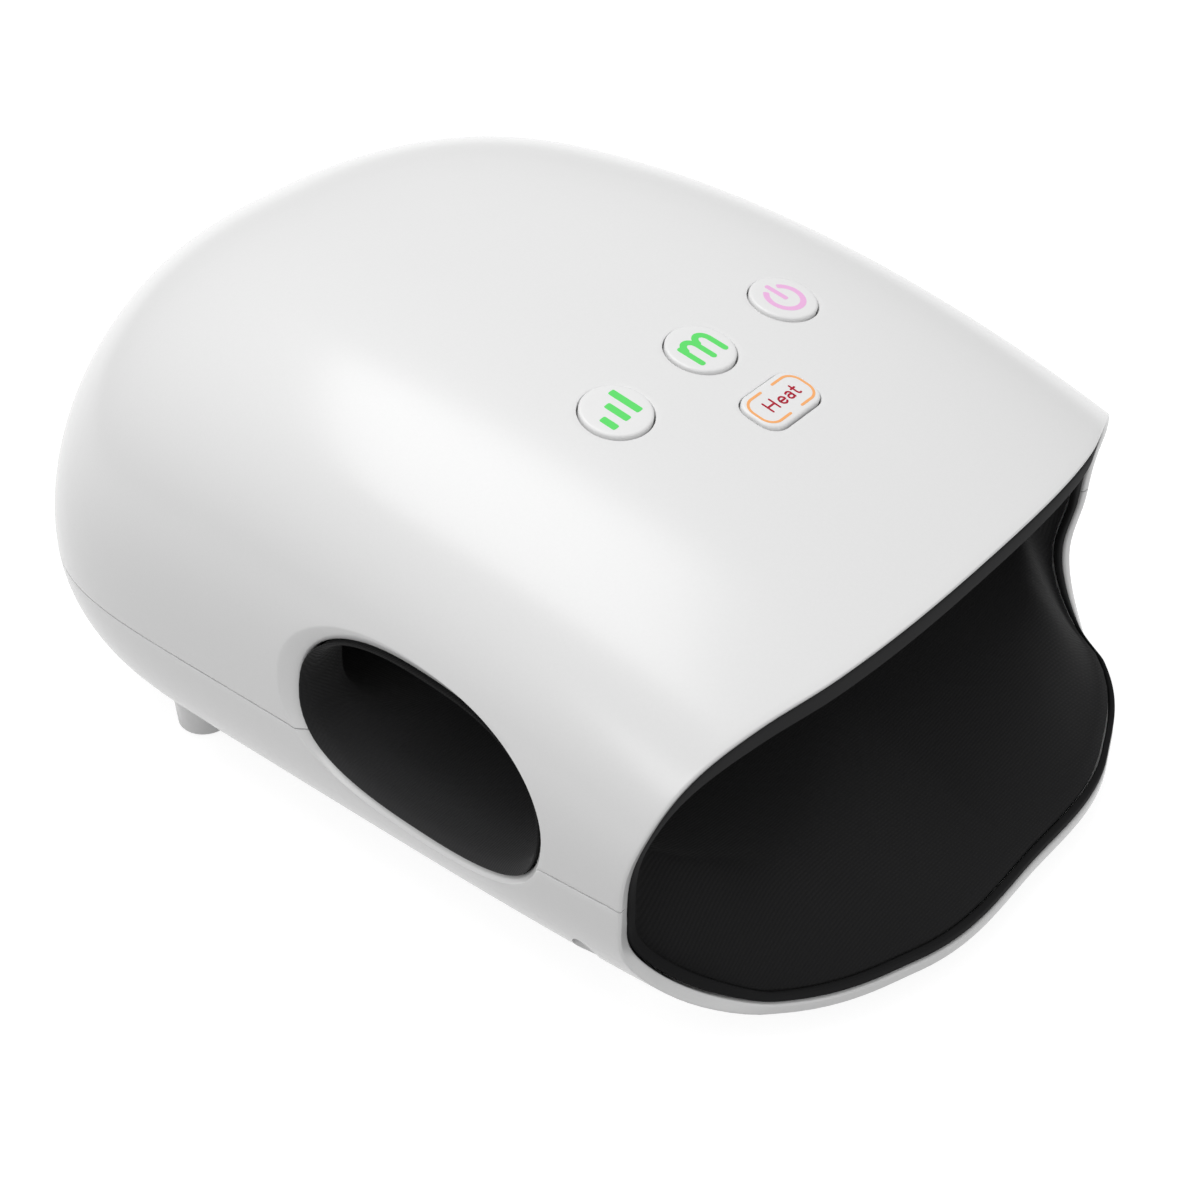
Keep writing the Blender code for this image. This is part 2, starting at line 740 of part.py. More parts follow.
def tunnel(s, y):
    """The inner face of the lining: it starts at the hem and draws in to the tunnel's own section."""
    s, y = np.broadcast_arrays(np.asarray(s, float), np.asarray(y, float))
    start = hem(s)
    t = np.clip((y - TUNNEL_STRAIGHT_Y)/(TUNNEL_END_Y - TUNNEL_STRAIGHT_Y), 0, 1)
    x, z = tunnel_section(s, (1 - t**2.5)**0.4)
    drawn = ease((y - start[..., 1])/flare_length(s))
    x = start[..., 0] + (x - start[..., 0])*drawn
    z = start[..., 2] + (z - start[..., 2])*drawn
    x = np.where((s <= 0) | (s >= 3), 0, x)
    return np.stack([x, y, z], -1)


TUNNEL_STATIONS = np.concatenate([np.linspace(0, 1, 8), np.linspace(1, 3, 11)[1:]])


def tunnel_rows(s):
    """The y of each row of the tunnel: through the flare, along the straight, and round its blind end."""
    start = hem(s)[..., 1][:, None]
    flare = start + flare_length(s)[:, None]*np.array([0, 0.2, 0.4, 0.65, 1.0])
    straight = flare[:, -1:] + (TUNNEL_STRAIGHT_Y - flare[:, -1:])*np.array([0.5, 1.0])
    turn = np.sin(np.radians([25, 48, 66, 80, 90]))**0.8
    end = TUNNEL_STRAIGHT_Y + (TUNNEL_END_Y - TUNNEL_STRAIGHT_Y)*turn
    return np.hstack([flare, straight, np.broadcast_to(end, (len(s), len(end)))])


def tunnel_grid(out=0.0):
    """The tunnel's right half, moved outwards by a distance."""
    s = TUNNEL_STATIONS
    y = tunnel_rows(s)
    points = tunnel(s[:, None], y)
    if out:
        y = np.minimum(y, TUNNEL_END_Y - 0.0004)
        points = inset(s[:, None], y, -out, tunnel)
        points[:, -1] = (0, TUNNEL_END_Y + out, (TUNNEL_CEILING + TUNNEL_FLOOR)/2)
        points[[0, -1], :, 0] = 0
    return points


def tunnel_volume(name, out):
    """The tunnel as a closed solid that stands out of the mouth."""
    points = tunnel_grid(out)
    ahead = points[:, :1] - np.array([0, 0.030, 0])
    made = add(name, grid_mesh(name, np.concatenate([ahead, points], 1)), FABRIC)
    bm = bmesh.new()
    bm.from_mesh(made.data)
    bmesh.ops.mirror(bm, geom=bm.verts[:] + bm.edges[:] + bm.faces[:], axis="X", merge_dist=0.00002)
    bmesh.ops.holes_fill(bm, edges=[edge for edge in bm.edges if edge.is_boundary])
    bmesh.ops.recalc_face_normals(bm, faces=bm.faces)
    bm.to_mesh(made.data)
    bm.free()
    return as_cutter(made)


def sleeve_rings(side, grow):
    """A thumb sleeve's outline, from the collar inwards to well inside the tunnel."""
    y, z = hole_outline(HOLE_INNER, 28, grow)
    start = hole_ring(y, z, COLLAR_DEPTH + GAP, side)
    end_y = HOLE_INNER["y"] + (y - HOLE_INNER["y"])*SLEEVE_INNER_SHARE
    end_z = HOLE_INNER["z"] + (z - HOLE_INNER["z"])*SLEEVE_INNER_SHARE
    end = np.stack([np.full_like(y, side*SLEEVE_INNER_X), end_y, end_z], -1)
    return start, end


def sleeve_solid(name, side, grow, beyond):
    start, end = sleeve_rings(side, grow)
    rings = [start, end]
    if beyond:
        rings = [start + np.array([side*beyond, 0, 0])] + rings
    return add(name, tube_mesh(name, rings), FABRIC)


def make_lining():
    """Two fabric panels that meet at half height, and a short sleeve to each thumb hole."""
    bores = [sleeve_solid("bore_" + name, side, 0, 0.004) for name, side in SIDES.items()]
    openings = joined("sleeve_bores", bores)
    seam_z = HOLE_INNER["z"]
    halves = {"lining_upper": (-0.1, seam_z + GAP/2), "lining_lower": (seam_z - GAP/2, 0.2)}
    for name, (low, high) in halves.items():
        made = add(name, grid_mesh(name, tunnel_grid()), FABRIC)
        smooth(made.data)
        mirrored(made)
        cloth = made.modifiers.new("cloth", "SOLIDIFY")
        cloth.thickness = LINING
        cloth.offset = 1
        boolean(made, openings, "DIFFERENCE")
        boolean(made, half_space("off_" + name, low, high), "DIFFERENCE")
    around = tunnel_volume("tunnel_volume", LINING + GAP)
    for name, side in SIDES.items():
        sleeve = sleeve_solid("thumb_sleeve_" + name, side, LINING, 0)
        boolean(sleeve, openings, "DIFFERENCE")
        boolean(sleeve, around, "DIFFERENCE")


def pad(name, material, stations, y_range, gap, thickness, rows=4):
    """A layer that lies on the tunnel's outside, across the middle, as an air bag or a tray does."""
    s = np.linspace(*stations, 5)[:, None]
    y = np.broadcast_to(np.linspace(*y_range, rows), (5, rows))
    points = inset(np.broadcast_to(s, y.shape), y, -gap, tunnel)
    middle = 0 if stations[0] == 0 else -1
    points[middle, :, 0] = 0
    made = add(name, grid_mesh(name, points), material)
    smooth(made.data)
    mirrored(made)
    layer = made.modifiers.new("layer", "SOLIDIFY")
    layer.thickness = thickness
    layer.offset = 1
    return made


def make_bags_and_trays():
    """Air bags over and under the hand, a heating film, and the two trays that back them."""
    above, below = (0, 0.42), (2.15, 3)
    close = LINING + 2*GAP
    pad("airbag_upper_palm", BLADDER, above, PALM_BAG_Y, close, BAG)
    pad("airbag_upper_fingers", BLADDER, above, FINGER_BAG_Y, close, BAG)
    pad("heating_film", COPPER, below, (PALM_BAG_Y[0], FINGER_BAG_Y[1]), close, FILM)
    under_film = close + FILM + GAP
    pad("airbag_lower_palm", BLADDER, below, PALM_BAG_Y, under_film, BAG)
    pad("airbag_lower_fingers", BLADDER, below, FINGER_BAG_Y, under_film, BAG)

    upper_out = close + BAG + GAP
    upper = pad("upper_tray", TRAY_BLACK, (0, 0.50), (-0.052, 0.040), upper_out, TRAY, 5)
    lower_out = under_film + BAG + GAP
    lower = pad("lower_tray", TRAY_BLACK, (2.0, 3), (-0.052, 0.040), lower_out, TRAY, 5)

    tray_top = TUNNEL_CEILING + upper_out
    posts = []
    for x in (-0.036, 0.036):
        for y in (0.004, 0.034):
            top = float(top_skin(abs(x) + 0.003, y)) - WALL - 0.0008
            posts.append(rod("tray_post", TRAY_BLACK, (x, y, tray_top - 0.0003), (x, y, top), 0.003, 12))
    boolean(upper, joined("upper_tray_posts", posts), "UNION")
    posts = []
    foot, tray_bottom = BASE_Z + WALL + GAP, TUNNEL_FLOOR - lower_out + 0.0002
    for x in (-0.036, 0.036):
        for y in (-0.036, 0.030):
            posts.append(rod("tray_foot", TRAY_BLACK, (x, y, foot), (x, y, tray_bottom), 0.003, 12))
    boolean(lower, joined("lower_tray_feet", posts), "UNION")


def make_buttons():
    """Four caps that slide square to the skin, each on its switch, and the board under them."""
    centre = skin_frame(0, (BUTTONS["mode"][1] + BUTTONS["heat"][1])/2)
    board_up = Vector((0, -math.sin(BOARD_TILT), math.cos(BOARD_TILT)))
    board_at = centre.translation - board_up*BOARD_DEPTH
    board_turn = Matrix.Rotation(BOARD_TILT, 4, "X")
    mesh = bpy.data.meshes.new("control_board")
    bm = bmesh.new()
    bmesh.ops.create_cube(bm, size=1, matrix=Matrix.Diagonal((*BOARD_SIZE, 1)))
    bm.to_mesh(mesh)
    bm.free()
    board_middle = board_at - board_up*BOARD_SIZE[2]/2
    add("control_board", mesh, BOARD_GREEN, Matrix.Translation(board_middle) @ board_turn)

    rounding = 0.0003
    tip_top = CAP_STEM[1] - GAP
    plunger = [
        (0, tip_top),
        (PLUNGER_RADIUS, tip_top),
        (PLUNGER_RADIUS, PLUNGER_END + rounding),
        (PLUNGER_RADIUS - rounding, PLUNGER_END),
        (0, PLUNGER_END),
    ]
    for name, (x, y) in BUTTONS.items():
        frame = skin_frame(x, y)
        up = frame.to_3x3().col[2]
        to_board = (frame.translation - board_at).dot(board_up)/up.dot(board_up)
        if name == "heat":
            make_heat_cap(frame)
        else:
            make_round_cap(name, frame)
        turned(name + "_plunger", SWITCH_BLACK, plunger, frame, 12)
        low = (-SWITCH_HALF, -SWITCH_HALF, 0.00055 - to_board)
        high = (SWITCH_HALF, SWITCH_HALF, SWITCH_TOP)
        switch = block(name + "_switch", SWITCH_BLACK, low, high)
        switch.matrix_world = frame @ switch.matrix_world
        around = PLUNGER_RADIUS + 0.0004
        bore = as_cutter(rod(name + "_bore", WHITE, (0, 0, -0.0075), (0, 0, -0.004), around, 12))
        bore.matrix_world = frame @ bore.matrix_world
        boolean(switch, bore, "DIFFERENCE")


def make_round_cap(name, frame):
    r, rise = BUTTON_RADIUS, BUTTON_RISE
    profile = [
        (0, rise),
        (r - 0.0010, rise),
        (r - 0.0003, rise - 0.0001),
        (r, rise - 0.0005),
        (r, CAP_BOTTOM + FLANGE),
        (r + FLANGE, CAP_BOTTOM + FLANGE),
        (r + FLANGE, CAP_BOTTOM),
        (CAP_STEM[0], CAP_BOTTOM),
        CAP_STEM,
        (0, CAP_STEM[1]),
    ]
    turned(name + "_button", CAP_WHITE, profile, frame, 24)


def make_heat_cap(frame):
    """The heat button: a long cap with a flange under the casing and a round stem."""
    half_x, half_y = HEAT_HALF_SIZE
    inside = CAP_BOTTOM + 0.0004
    mesh = rounded_block_mesh("heat_button", half_x, half_y, inside, BUTTON_RISE, HEAT_CORNER)
    cap = add("heat_button", mesh, CAP_WHITE, frame)
    edge = cap.modifiers.new("rounding", "BEVEL")
    edge.width = 0.0003
    edge.segments = 1
    edge.angle_limit = math.radians(60)
    corner = HEAT_CORNER + FLANGE
    flange_top = CAP_BOTTOM + FLANGE
    half_x, half_y = half_x + FLANGE, half_y + FLANGE
    wide = rounded_block_mesh("heat_flange", half_x, half_y, CAP_BOTTOM, flange_top, corner)
    pieces = [add("heat_flange", wide, CAP_WHITE, frame)]
    stem_radius, stem_end = CAP_STEM
    stem = rod("heat_stem", CAP_WHITE, (0, 0, stem_end), (0, 0, inside + 0.0002), stem_radius, 12)
    stem.matrix_world = frame @ stem.matrix_world
    boolean(cap, joined("heat_flange_cutter", pieces), "UNION")
    boolean(cap, as_cutter(stem), "UNION")


def rounded_block_mesh(name, half_x, half_y, low, high, radius, segments=4):
    """A box whose four upright edges are rounded."""
    mesh = bpy.data.meshes.new(name)
    bm = bmesh.new()
    size = Matrix.Diagonal((2*half_x, 2*half_y, high - low, 1))
    bmesh.ops.create_cube(bm, size=1, matrix=Matrix.Translation((0, 0, (low + high)/2)) @ size)
    upright = [edge for edge in bm.edges if abs(edge.verts[0].co.z - edge.verts[1].co.z) > (high - low)/2]
    bmesh.ops.bevel(bm, geom=upright, offset=radius, segments=segments, profile=0.5, affect="EDGES")
    bm.to_mesh(mesh)
    bm.free()
    smooth(mesh)
    return mesh


def make_feet_and_screws():
    for name, x, y in foot_places():
        rounding = 0.0004
        profile = [(0, PAD_HEIGHT), (PAD_RADIUS, PAD_HEIGHT), (PAD_RADIUS, rounding)]
        profile += [(PAD_RADIUS - rounding, 0), (0, 0)]
        turned("foot_pad_" + name, RUBBER, profile, Matrix.Translation((x, y, 0)), 20)
    for name, x, place in screw_places():
        shank = BOSS_TOP - place["seat"] + 0.0105
        profile = [(0, shank + 0.0012), (0.0013, shank), (0.0013, 0), (0.0024, 0), (0.0024, -0.0016)]
        profile += [(0.0012, -0.0022), (0, -0.0022)]
        at = Matrix.Translation((x, place["y"], place["seat"] - GAP))
        turned("case_screw_" + name, STEEL, profile, at, 14)


def curve_tube(name, material, points, radius):
    """A hose or cable: a tube through points by a smooth spline."""
    points = np.array(points, float)
    stops = np.concatenate([[0], np.cumsum(np.linalg.norm(np.diff(points, axis=0), axis=1))])
    steps = np.linspace(0, stops[-1], max(6, int(stops[-1]/(5*radius))))
    path = np.stack([natural(steps, stops, points[:, k]) for k in range(3)], -1)
    curve = bpy.data.curves.new(name, "CURVE")
    curve.dimensions = "3D"
    curve.bevel_depth = radius
    curve.bevel_resolution = 2
    curve.use_fill_caps = True
    spline = curve.splines.new("POLY")
    spline.points.add(len(path) - 1)
    for point, place in zip(spline.points, path):
        point.co = (*place, 1)
    PARTS.objects.link(bpy.data.objects.new(name, curve))
    curve.materials.append(material)


def natural(x, stations, values):
    """A cubic through points with centred slopes, free at its ends."""
    slopes = np.gradient(values, stations)
    i = np.clip(np.searchsorted(stations, x, side="right") - 1, 0, len(stations) - 2)
    step = stations[i + 1] - stations[i]
    t = (x - stations[i])/step
    start = t*(1 - t)**2*step*slopes[i]
    end = t*t*(t - 1)*step*slopes[i + 1]
    return values[i] + (values[i + 1] - values[i])*ease(t) + start + end


def make_bulkhead():
    """A plate behind the hand pocket, cut to the body's inside, that carries the pump, valves and cells."""
    inside = body_volume("inside_volume", WALL + 0.0006)
    low, high = BULKHEAD_Y
    plate = block("rear_bulkhead", TRAY_BLACK, (-0.09, low, 0), (0.09, high, 0.12))
    boolean(plate, inside, "INTERSECT")
    openings = [
        rod("cable_hole", WHITE, (0.0400, low - 0.01, 0.0755), (0.0400, high + 0.01, 0.0755), 0.0022, 16),
        rod("hose_hole_a", WHITE, (-0.041, low - 0.01, 0.0450), (-0.041, high + 0.01, 0.0450), 0.0030, 16),
        rod("hose_hole_b", WHITE, (0.041, low - 0.01, 0.0450), (0.041, high + 0.01, 0.0450), 0.0030, 16),
    ]
    boolean(plate, joined("bulkhead_openings", openings), "DIFFERENCE")


def make_battery():
    half = CELL_LENGTH/2
    for name, z in (("lower", CELL_Z), ("upper", CELL_Z + 2*CELL_RADIUS + GAP)):
        rod("battery_cell_" + name, CELL_BLUE, (-half, CELL_Y, z), (half, CELL_Y, z), CELL_RADIUS, 28)
    back = BULKHEAD_Y[1] + GAP
    arm = block("battery_cradle", TRAY_BLACK, (-0.0345, back, 0.0170), (0.0345, back + 0.0012, 0.0440))
    ends = [
        block("cradle_end", WHITE, (-0.0345, back, 0.0170), (-0.0330, 0.0870, 0.0440)),
        block("cradle_end", WHITE, (0.0330, back, 0.0170), (0.0345, 0.0870, 0.0440)),
    ]
    boolean(arm, joined("cradle_ends", ends), "UNION")


def make_pump():
    """A motor whose shaft turns an eccentric in the housing, and a head with the diaphragms and nozzle."""

    def at(x):
        return (x, PUMP_Y, PUMP_Z)

    motor = rod("pump_motor", STEEL, at(-0.0300), at(0.0), MOTOR_RADIUS, 24)
    bore = as_cutter(rod("motor_bore", WHITE, at(-0.0280), at(0.0050), 0.0014, 16))
    boolean(motor, bore, "DIFFERENCE")

    housing = rod("pump_housing", PUMP_WHITE, at(0.0003), at(0.0120), 0.0125, 24)
    hollow = [
        rod("housing_hollow", WHITE, at(0.0020), at(0.0140), 0.0105, 24),
        rod("housing_hole", WHITE, at(-0.0010), at(0.0030), 0.0025, 16),
    ]
    cut = boolean(housing, joined("housing_cut", hollow), "DIFFERENCE")
    cut.use_self = True

    axis = Matrix.Translation(at(0)) @ Matrix.Rotation(math.radians(90), 4, "Y")
    rotor = add("pump_rotor", cylinder_mesh("pump_rotor", 0.0010, -0.0260, 0.0050, 16), STEEL, axis)
    wheel = add("eccentric", cylinder_mesh("eccentric", 0.0075, 0.0040, 0.0090, 24), STEEL)
    wheel.matrix_world = Matrix.Translation((0, 0, -0.0015)) @ axis
    boolean(rotor, as_cutter(wheel), "UNION")

    head = rod("pump_head", PUMP_WHITE, at(0.0123), at(0.0250), 0.0125, 24)
    nozzle = [rod("nozzle", WHITE, at(0.0240), at(0.0310), 0.0018, 16)]
    boolean(head, joined("pump_nozzle", nozzle), "UNION")

    cradle = rod("pump_cradle", RUBBER, at(-0.0240), at(-0.0080), MOTOR_RADIUS + 0.0005 + GAP, 24)
    foot_low = (-0.0240, BULKHEAD_Y[1] + GAP, PUMP_Z - 0.0100)
    foot = [block("cradle_foot", WHITE, foot_low, (-0.0080, PUMP_Y, PUMP_Z + 0.0100))]
    boolean(cradle, joined("cradle_foot", foot), "UNION")
    seat = as_cutter(rod("cradle_seat", WHITE, at(-0.0300), at(0.0), MOTOR_RADIUS + GAP, 24))
    boolean(cradle, seat, "DIFFERENCE")


def make_valves():
    """Two solenoid valves on the bulkhead, each with a plunger that lifts off its seat and a nozzle."""
    back = BULKHEAD_Y[1] + GAP
    for name, side in SIDES.items():
        x, y = side*VALVE_X, back + VALVE_WIDTH/2
        low = (x - 0.0055, back, 0.0520)
        high = (x + 0.0055, back + VALVE_WIDTH, 0.0680)
        body = block("valve_" + name, PUMP_WHITE, low, high, 0.0006)
        nozzle = [rod("valve_nozzle", WHITE, (x, y, 0.0530), (x, y, 0.0485), 0.0016, 10)]
        boolean(body, joined("valve_nozzle_" + name, nozzle), "UNION")
        bore = as_cutter(rod("valve_bore_" + name, WHITE, (x, y, 0.0590), (x, y, 0.0700), 0.0023, 12))
        boolean(body, bore, "DIFFERENCE")
        rod("valve_plunger_" + name, STEEL, (x, y, 0.0602), (x, y, 0.0672), 0.0019, 16)


def make_hoses():
    """Air lines: from the pump to the manifold, and from each valve through the bulkhead to its bags."""
    back = BULKHEAD_Y[1] + GAP
    y = back + 0.0040
    z = 0.0800
    manifold = rod("air_manifold", PUMP_WHITE, (-0.0140, y, z), (0.0140, y, z), 0.0030, 16)
    base = [block("manifold_base", WHITE, (-0.0060, back, z - 0.0020), (0.0060, y, z + 0.0020))]
    boolean(manifold, joined("manifold_base", base), "UNION")
    nozzle_x = 0.0328
    loop = [(nozzle_x, PUMP_Y, PUMP_Z), (nozzle_x + 0.0020, PUMP_Y, PUMP_Z + 0.0002)]
    loop += [(0.0355, 0.0825, 0.0660), (0.0340, 0.0800, 0.0720), (0.0280, 0.0765, 0.0775)]
    loop += [(0.0200, y, z), (0.0146, y, z)]
    curve_tube("hose_pump", SILICONE, loop, 0.0017)
    valve_y = back + VALVE_WIDTH/2
    for name, side in SIDES.items():
        x = side*VALVE_X
        path = [(x, valve_y, 0.0475), (x, valve_y, 0.0464), (x, valve_y - 0.002, 0.0450)]
        path += [(x, 0.0680, 0.0450), (x, 0.0655, 0.0450), (x, 0.0640, 0.0470)]
        curve_tube("hose_bag_" + name, SILICONE, path, 0.0020)


def make_power_board():
    """The board at the back with the charging socket, and the cable that joins it to the control board."""
    y = 0.0905
    block("power_board", BOARD_GREEN, (-0.0200, y, 0.0150), (0.0200, y + 0.0014, 0.0420))
    front = y + 0.0014 + GAP
    turn = Matrix.Rotation(math.radians(-90), 4, "X")
    place = Matrix.Translation((0, front, SOCKET_Z)) @ turn
    case = rounded_block_mesh("charging_socket", 0.0045, 0.0016, 0, 0.0135, 0.0015, 3)
    socket = add("charging_socket", case, STEEL, place)
    inside = rounded_block_mesh("socket_hollow", 0.0041, 0.0012, 0.0060, 0.0200, 0.0011, 3)
    boolean(socket, as_cutter(add("socket_hollow", inside, WHITE, place)), "DIFFERENCE")
    route = [(0.0300, -0.0114, 0.0800), (0.0300, -0.0040, 0.0800), (0.0270, 0.0200, 0.0790)]
    route += [(0.0330, 0.0480, 0.0780), (0.0400, 0.0670, 0.0755), (0.0410, 0.0780, 0.0735)]
    route += [(0.0410, 0.0840, 0.0680), (0.0400, 0.0875, 0.0550), (0.0360, 0.0895, 0.0400)]
    route += [(0.0280, 0.0912, 0.0320), (0.0207, 0.0912, 0.0300)]
    curve_tube("wire_harness", WIRE_RED, route, 0.0013)


make_casing()
make_mouth_trim()
make_lining()
make_bags_and_trays()
make_buttons()
make_feet_and_screws()
make_bulkhead()
make_battery()
make_pump()
make_valves()
make_hoses()
make_power_board()
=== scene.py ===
"""Looks of the hand massager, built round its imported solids. Metres, +Z up, the mouth towards -Y."""

import math

import bmesh
import bpy
import numpy as np
from mathutils import Matrix, Vector


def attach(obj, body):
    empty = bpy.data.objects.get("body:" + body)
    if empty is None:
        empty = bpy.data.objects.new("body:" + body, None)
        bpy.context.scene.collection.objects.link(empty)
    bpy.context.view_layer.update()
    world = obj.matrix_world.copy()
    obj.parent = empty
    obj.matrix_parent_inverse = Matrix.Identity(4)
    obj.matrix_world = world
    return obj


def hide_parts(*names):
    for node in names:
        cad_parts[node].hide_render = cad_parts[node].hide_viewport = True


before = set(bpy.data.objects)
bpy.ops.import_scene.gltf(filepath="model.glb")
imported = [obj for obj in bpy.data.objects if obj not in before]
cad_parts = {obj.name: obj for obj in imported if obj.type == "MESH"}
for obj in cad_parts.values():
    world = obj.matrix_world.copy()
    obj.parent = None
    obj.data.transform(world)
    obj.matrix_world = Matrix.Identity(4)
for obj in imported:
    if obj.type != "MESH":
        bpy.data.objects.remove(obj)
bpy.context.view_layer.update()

# The two casing shells. The real ones are injection-moulded in white gloss ABS, 2.5 mm thick, and meet in a
# hairline seam. The upper one carries the buttons, the lower one the feet and the screw wells, and both share
# the thumb holes.

HALF_WIDTH, FRONT_HALF_WIDTH = 0.080, 0.076
REAR_Y, WIDEST_Y, CROWN_Y, FRONT_Y = 0.1083, 0.0170, 0.0259, -0.0954
SEAM_Z, BASE_Z, CROWN_Z, VISOR_Z = 0.0358, 0.0065, 0.0944, 0.0710
BASE_SHARE, REAR_POWER = 0.76, 0.763
EDGE_STATIONS = (0, 0.3, 0.45, 0.6, 0.8, 1.0, 1.06, 1.35, 1.75, 2.0, 2.4, 3.0)
EDGE_Y = (
    -0.0908, -0.0874, -0.0830, -0.0790, -0.0753, -0.0723, -0.0722, -0.0717, -0.0820, -0.0909, -0.1050,
    -0.1082,
)
BASE_STRETCH = 2.1
PLAN_CURVES, CROWN_CURVES = (5, 24, 3.6), (3.2, 0.46, 1.78)
ACROSS_POWERS, UPWARD_POWERS, SECTION_SETBACK = (2.5, 3.3, 2.15), (2.4, 2.82, 1.3), 0.002
LEAN_POWER, DROP_POWER = 0.952, 1.053
WALL, VISOR_LIP, GAP = 0.0025, 0.0010, 0.0003
LIP_RUN, LIP_FOOT, LIP_FADE = 0.024, 0.042, 0.012
SIDES = {"right": 1, "left": -1}
MERGE, TINY = 1.5e-6, 1e-7


def ease(x):
    """Nought below 0, one above 1, and a smooth step between."""
    x = np.clip(x, 0, 1)
    return x*x*(3 - 2*x)


def floats(*values):
    """Numbers or arrays, as float arrays of one shape."""
    return np.broadcast_arrays(*(np.asarray(value, float) for value in values))


def through(x, stations, values):
    """A cubic through points with centred slopes, level at both ends."""
    stations, values = np.array(stations, float), np.array(values, float)
    slopes = np.gradient(values, stations)
    slopes[[0, -1]] = 0
    i = np.clip(np.searchsorted(stations, x) - 1, 0, len(stations) - 2)
    step = stations[i + 1] - stations[i]
    t = (x - stations[i])/step
    start, end = t*(1 - t)**2*step*slopes[i], t*t*(t - 1)*step*slopes[i + 1]
    return values[i] + (values[i + 1] - values[i])*ease(t) + start + end


def half_width(y):
    """The plan outline: a power curve that rounds off the back, and flanks that draw in a little in front."""
    round_off, last_turn, draw_in = PLAN_CURVES
    t = np.clip((y - WIDEST_Y)/(REAR_Y - WIDEST_Y), 0, 1)
    rear = HALF_WIDTH*(1 - t**round_off)**(REAR_POWER + (0.5 - REAR_POWER)*t**last_turn)
    t = np.clip((WIDEST_Y - y)/(WIDEST_Y - FRONT_Y), 0, 1.2)
    return np.where(y > WIDEST_Y, rear, HALF_WIDTH - (HALF_WIDTH - FRONT_HALF_WIDTH)*t**draw_in)


def crown(y):
    """The ridge line: a power curve down to the seam at the back, and a gentler one down to the visor."""
    round_off, steepness, fall = CROWN_CURVES
    t = np.clip((y - CROWN_Y)/(REAR_Y - CROWN_Y), 0, 1)
    rear = SEAM_Z + (CROWN_Z - SEAM_Z)*(1 - t**round_off)**steepness
    t = np.clip((CROWN_Y - y)/(CROWN_Y - FRONT_Y), 0, 1.2)
    return np.where(y > CROWN_Y, rear, CROWN_Z - (CROWN_Z - VISOR_Z)*t**fall)


def section_powers(y):
    """How square the upper cross-section is sideways and upwards: a parabola through front, middle and back."""
    t = np.clip((y - FRONT_Y - SECTION_SETBACK)/(REAR_Y - FRONT_Y - SECTION_SETBACK), 0, 1)
    shares = (1 - t)*(1 - 2*t), 4*t*(1 - t), t*(2*t - 1)
    return [sum(power*share for power, share in zip(row, shares)) for row in (ACROSS_POWERS, UPWARD_POWERS)]


def skin(s, y):
    """The right half of the skin. s runs 0 to 1 down a superellipse to the seam, to 2 round the flank that
    leans in to the base, and to 3 across the flat base. y runs from front to back."""
    s, y = floats(s, y)
    width, top = half_width(y), crown(y)
    across, upward = section_powers(y)
    angle = math.pi/2*(1 - np.clip(s, 0, 1))
    x = width*np.abs(np.cos(angle))**(2/across)
    z = SEAM_Z + (top - SEAM_Z)*np.abs(np.sin(angle))**(2/upward)
    angle = math.pi/2*np.clip(s - 1, 0, 1)
    share = 1 - (1 - BASE_SHARE)*(1 - np.abs(np.cos(angle))**LEAN_POWER)
    low = s > 1
    x = np.where(low, width*share, x)
    z = np.where(low, SEAM_Z - (SEAM_Z - BASE_Z)*np.abs(np.sin(angle))**DROP_POWER, z)
    y = np.where(low & (y > WIDEST_Y), WIDEST_Y + (y - WIDEST_Y)*share, y)
    x = np.where(s > 2, x*(3 - np.clip(s, 2, 3)), x)
    return np.stack([np.where((s <= 0) | (s >= 3), 0, x), y, z], -1)


def inward(surface, s, y):
    """Unit vectors into the body: the cross product of the surface's two slopes."""
    ds, dy = 0.004, 0.0002
    along = surface(np.clip(s + ds, 0, 3), y) - surface(np.clip(s - ds, 0, 3), y)
    normal = np.cross(surface(s, y + dy) - surface(s, y - dy), along)
    normal[..., 0] = np.where((s <= 0) | (s >= 3), 0, normal[..., 0])
    return normal/np.maximum(np.linalg.norm(normal, axis=-1, keepdims=True), 1e-12)


def inset(s, y, depth, surface=skin):
    """A point of the surface, moved along its inward normal by a depth."""
    s, y, depth = floats(s, y, depth)
    return surface(s, y) + inward(surface, s, y)*depth[..., None]


def edge_place(s):
    """s with its run across the base stretched, so that the edge turns the base's corner smoothly."""
    s = np.asarray(s, float)
    return np.where(s > 2, 2 + (s - 2)*BASE_STRETCH, s)


def front_edge(s):
    """Where the mouth's rim is along y: the visor, the waist at the seam, and the tongue below."""
    return through(edge_place(s), edge_place(EDGE_STATIONS), EDGE_Y)


def wall_at(s, y):
    """The wall's thickness: thin at the lip of the mouth's upper half, full behind it and lower down."""
    z = skin(s, y)[..., 2]
    share = np.maximum(ease((y - EDGE_Y[0])/LIP_RUN), ease((LIP_FOOT - z)/LIP_FADE))
    return VISOR_LIP + (WALL - VISOR_LIP)*share


def station_above(x, y):
    """The s of a place in the plan, on the upper half: the superellipse solved for its angle."""
    across = section_powers(y)[0]
    return 2/math.pi*np.arcsin(np.clip(np.abs(x)/half_width(y), 0, 1)**(across/2))


def station_beside(y, z):
    """The s of a place in the side view: either half's curve solved for its angle."""
    rise = np.clip((z - SEAM_Z)/(crown(y) - SEAM_Z), 0, 1)
    drop = np.clip((SEAM_Z - z)/(SEAM_Z - BASE_Z), 0, 1)
    above = 1 - 2/math.pi*np.arcsin(rise**(section_powers(y)[1]/2))
    return np.where(z >= SEAM_Z, above, 1 + 2/math.pi*np.arcsin(drop**(1/DROP_POWER)))


def length_along(points):
    """The length along a line of points, from its start to each of them."""
    return np.concatenate([[0], np.cumsum(np.linalg.norm(np.diff(points, axis=0), axis=1))])


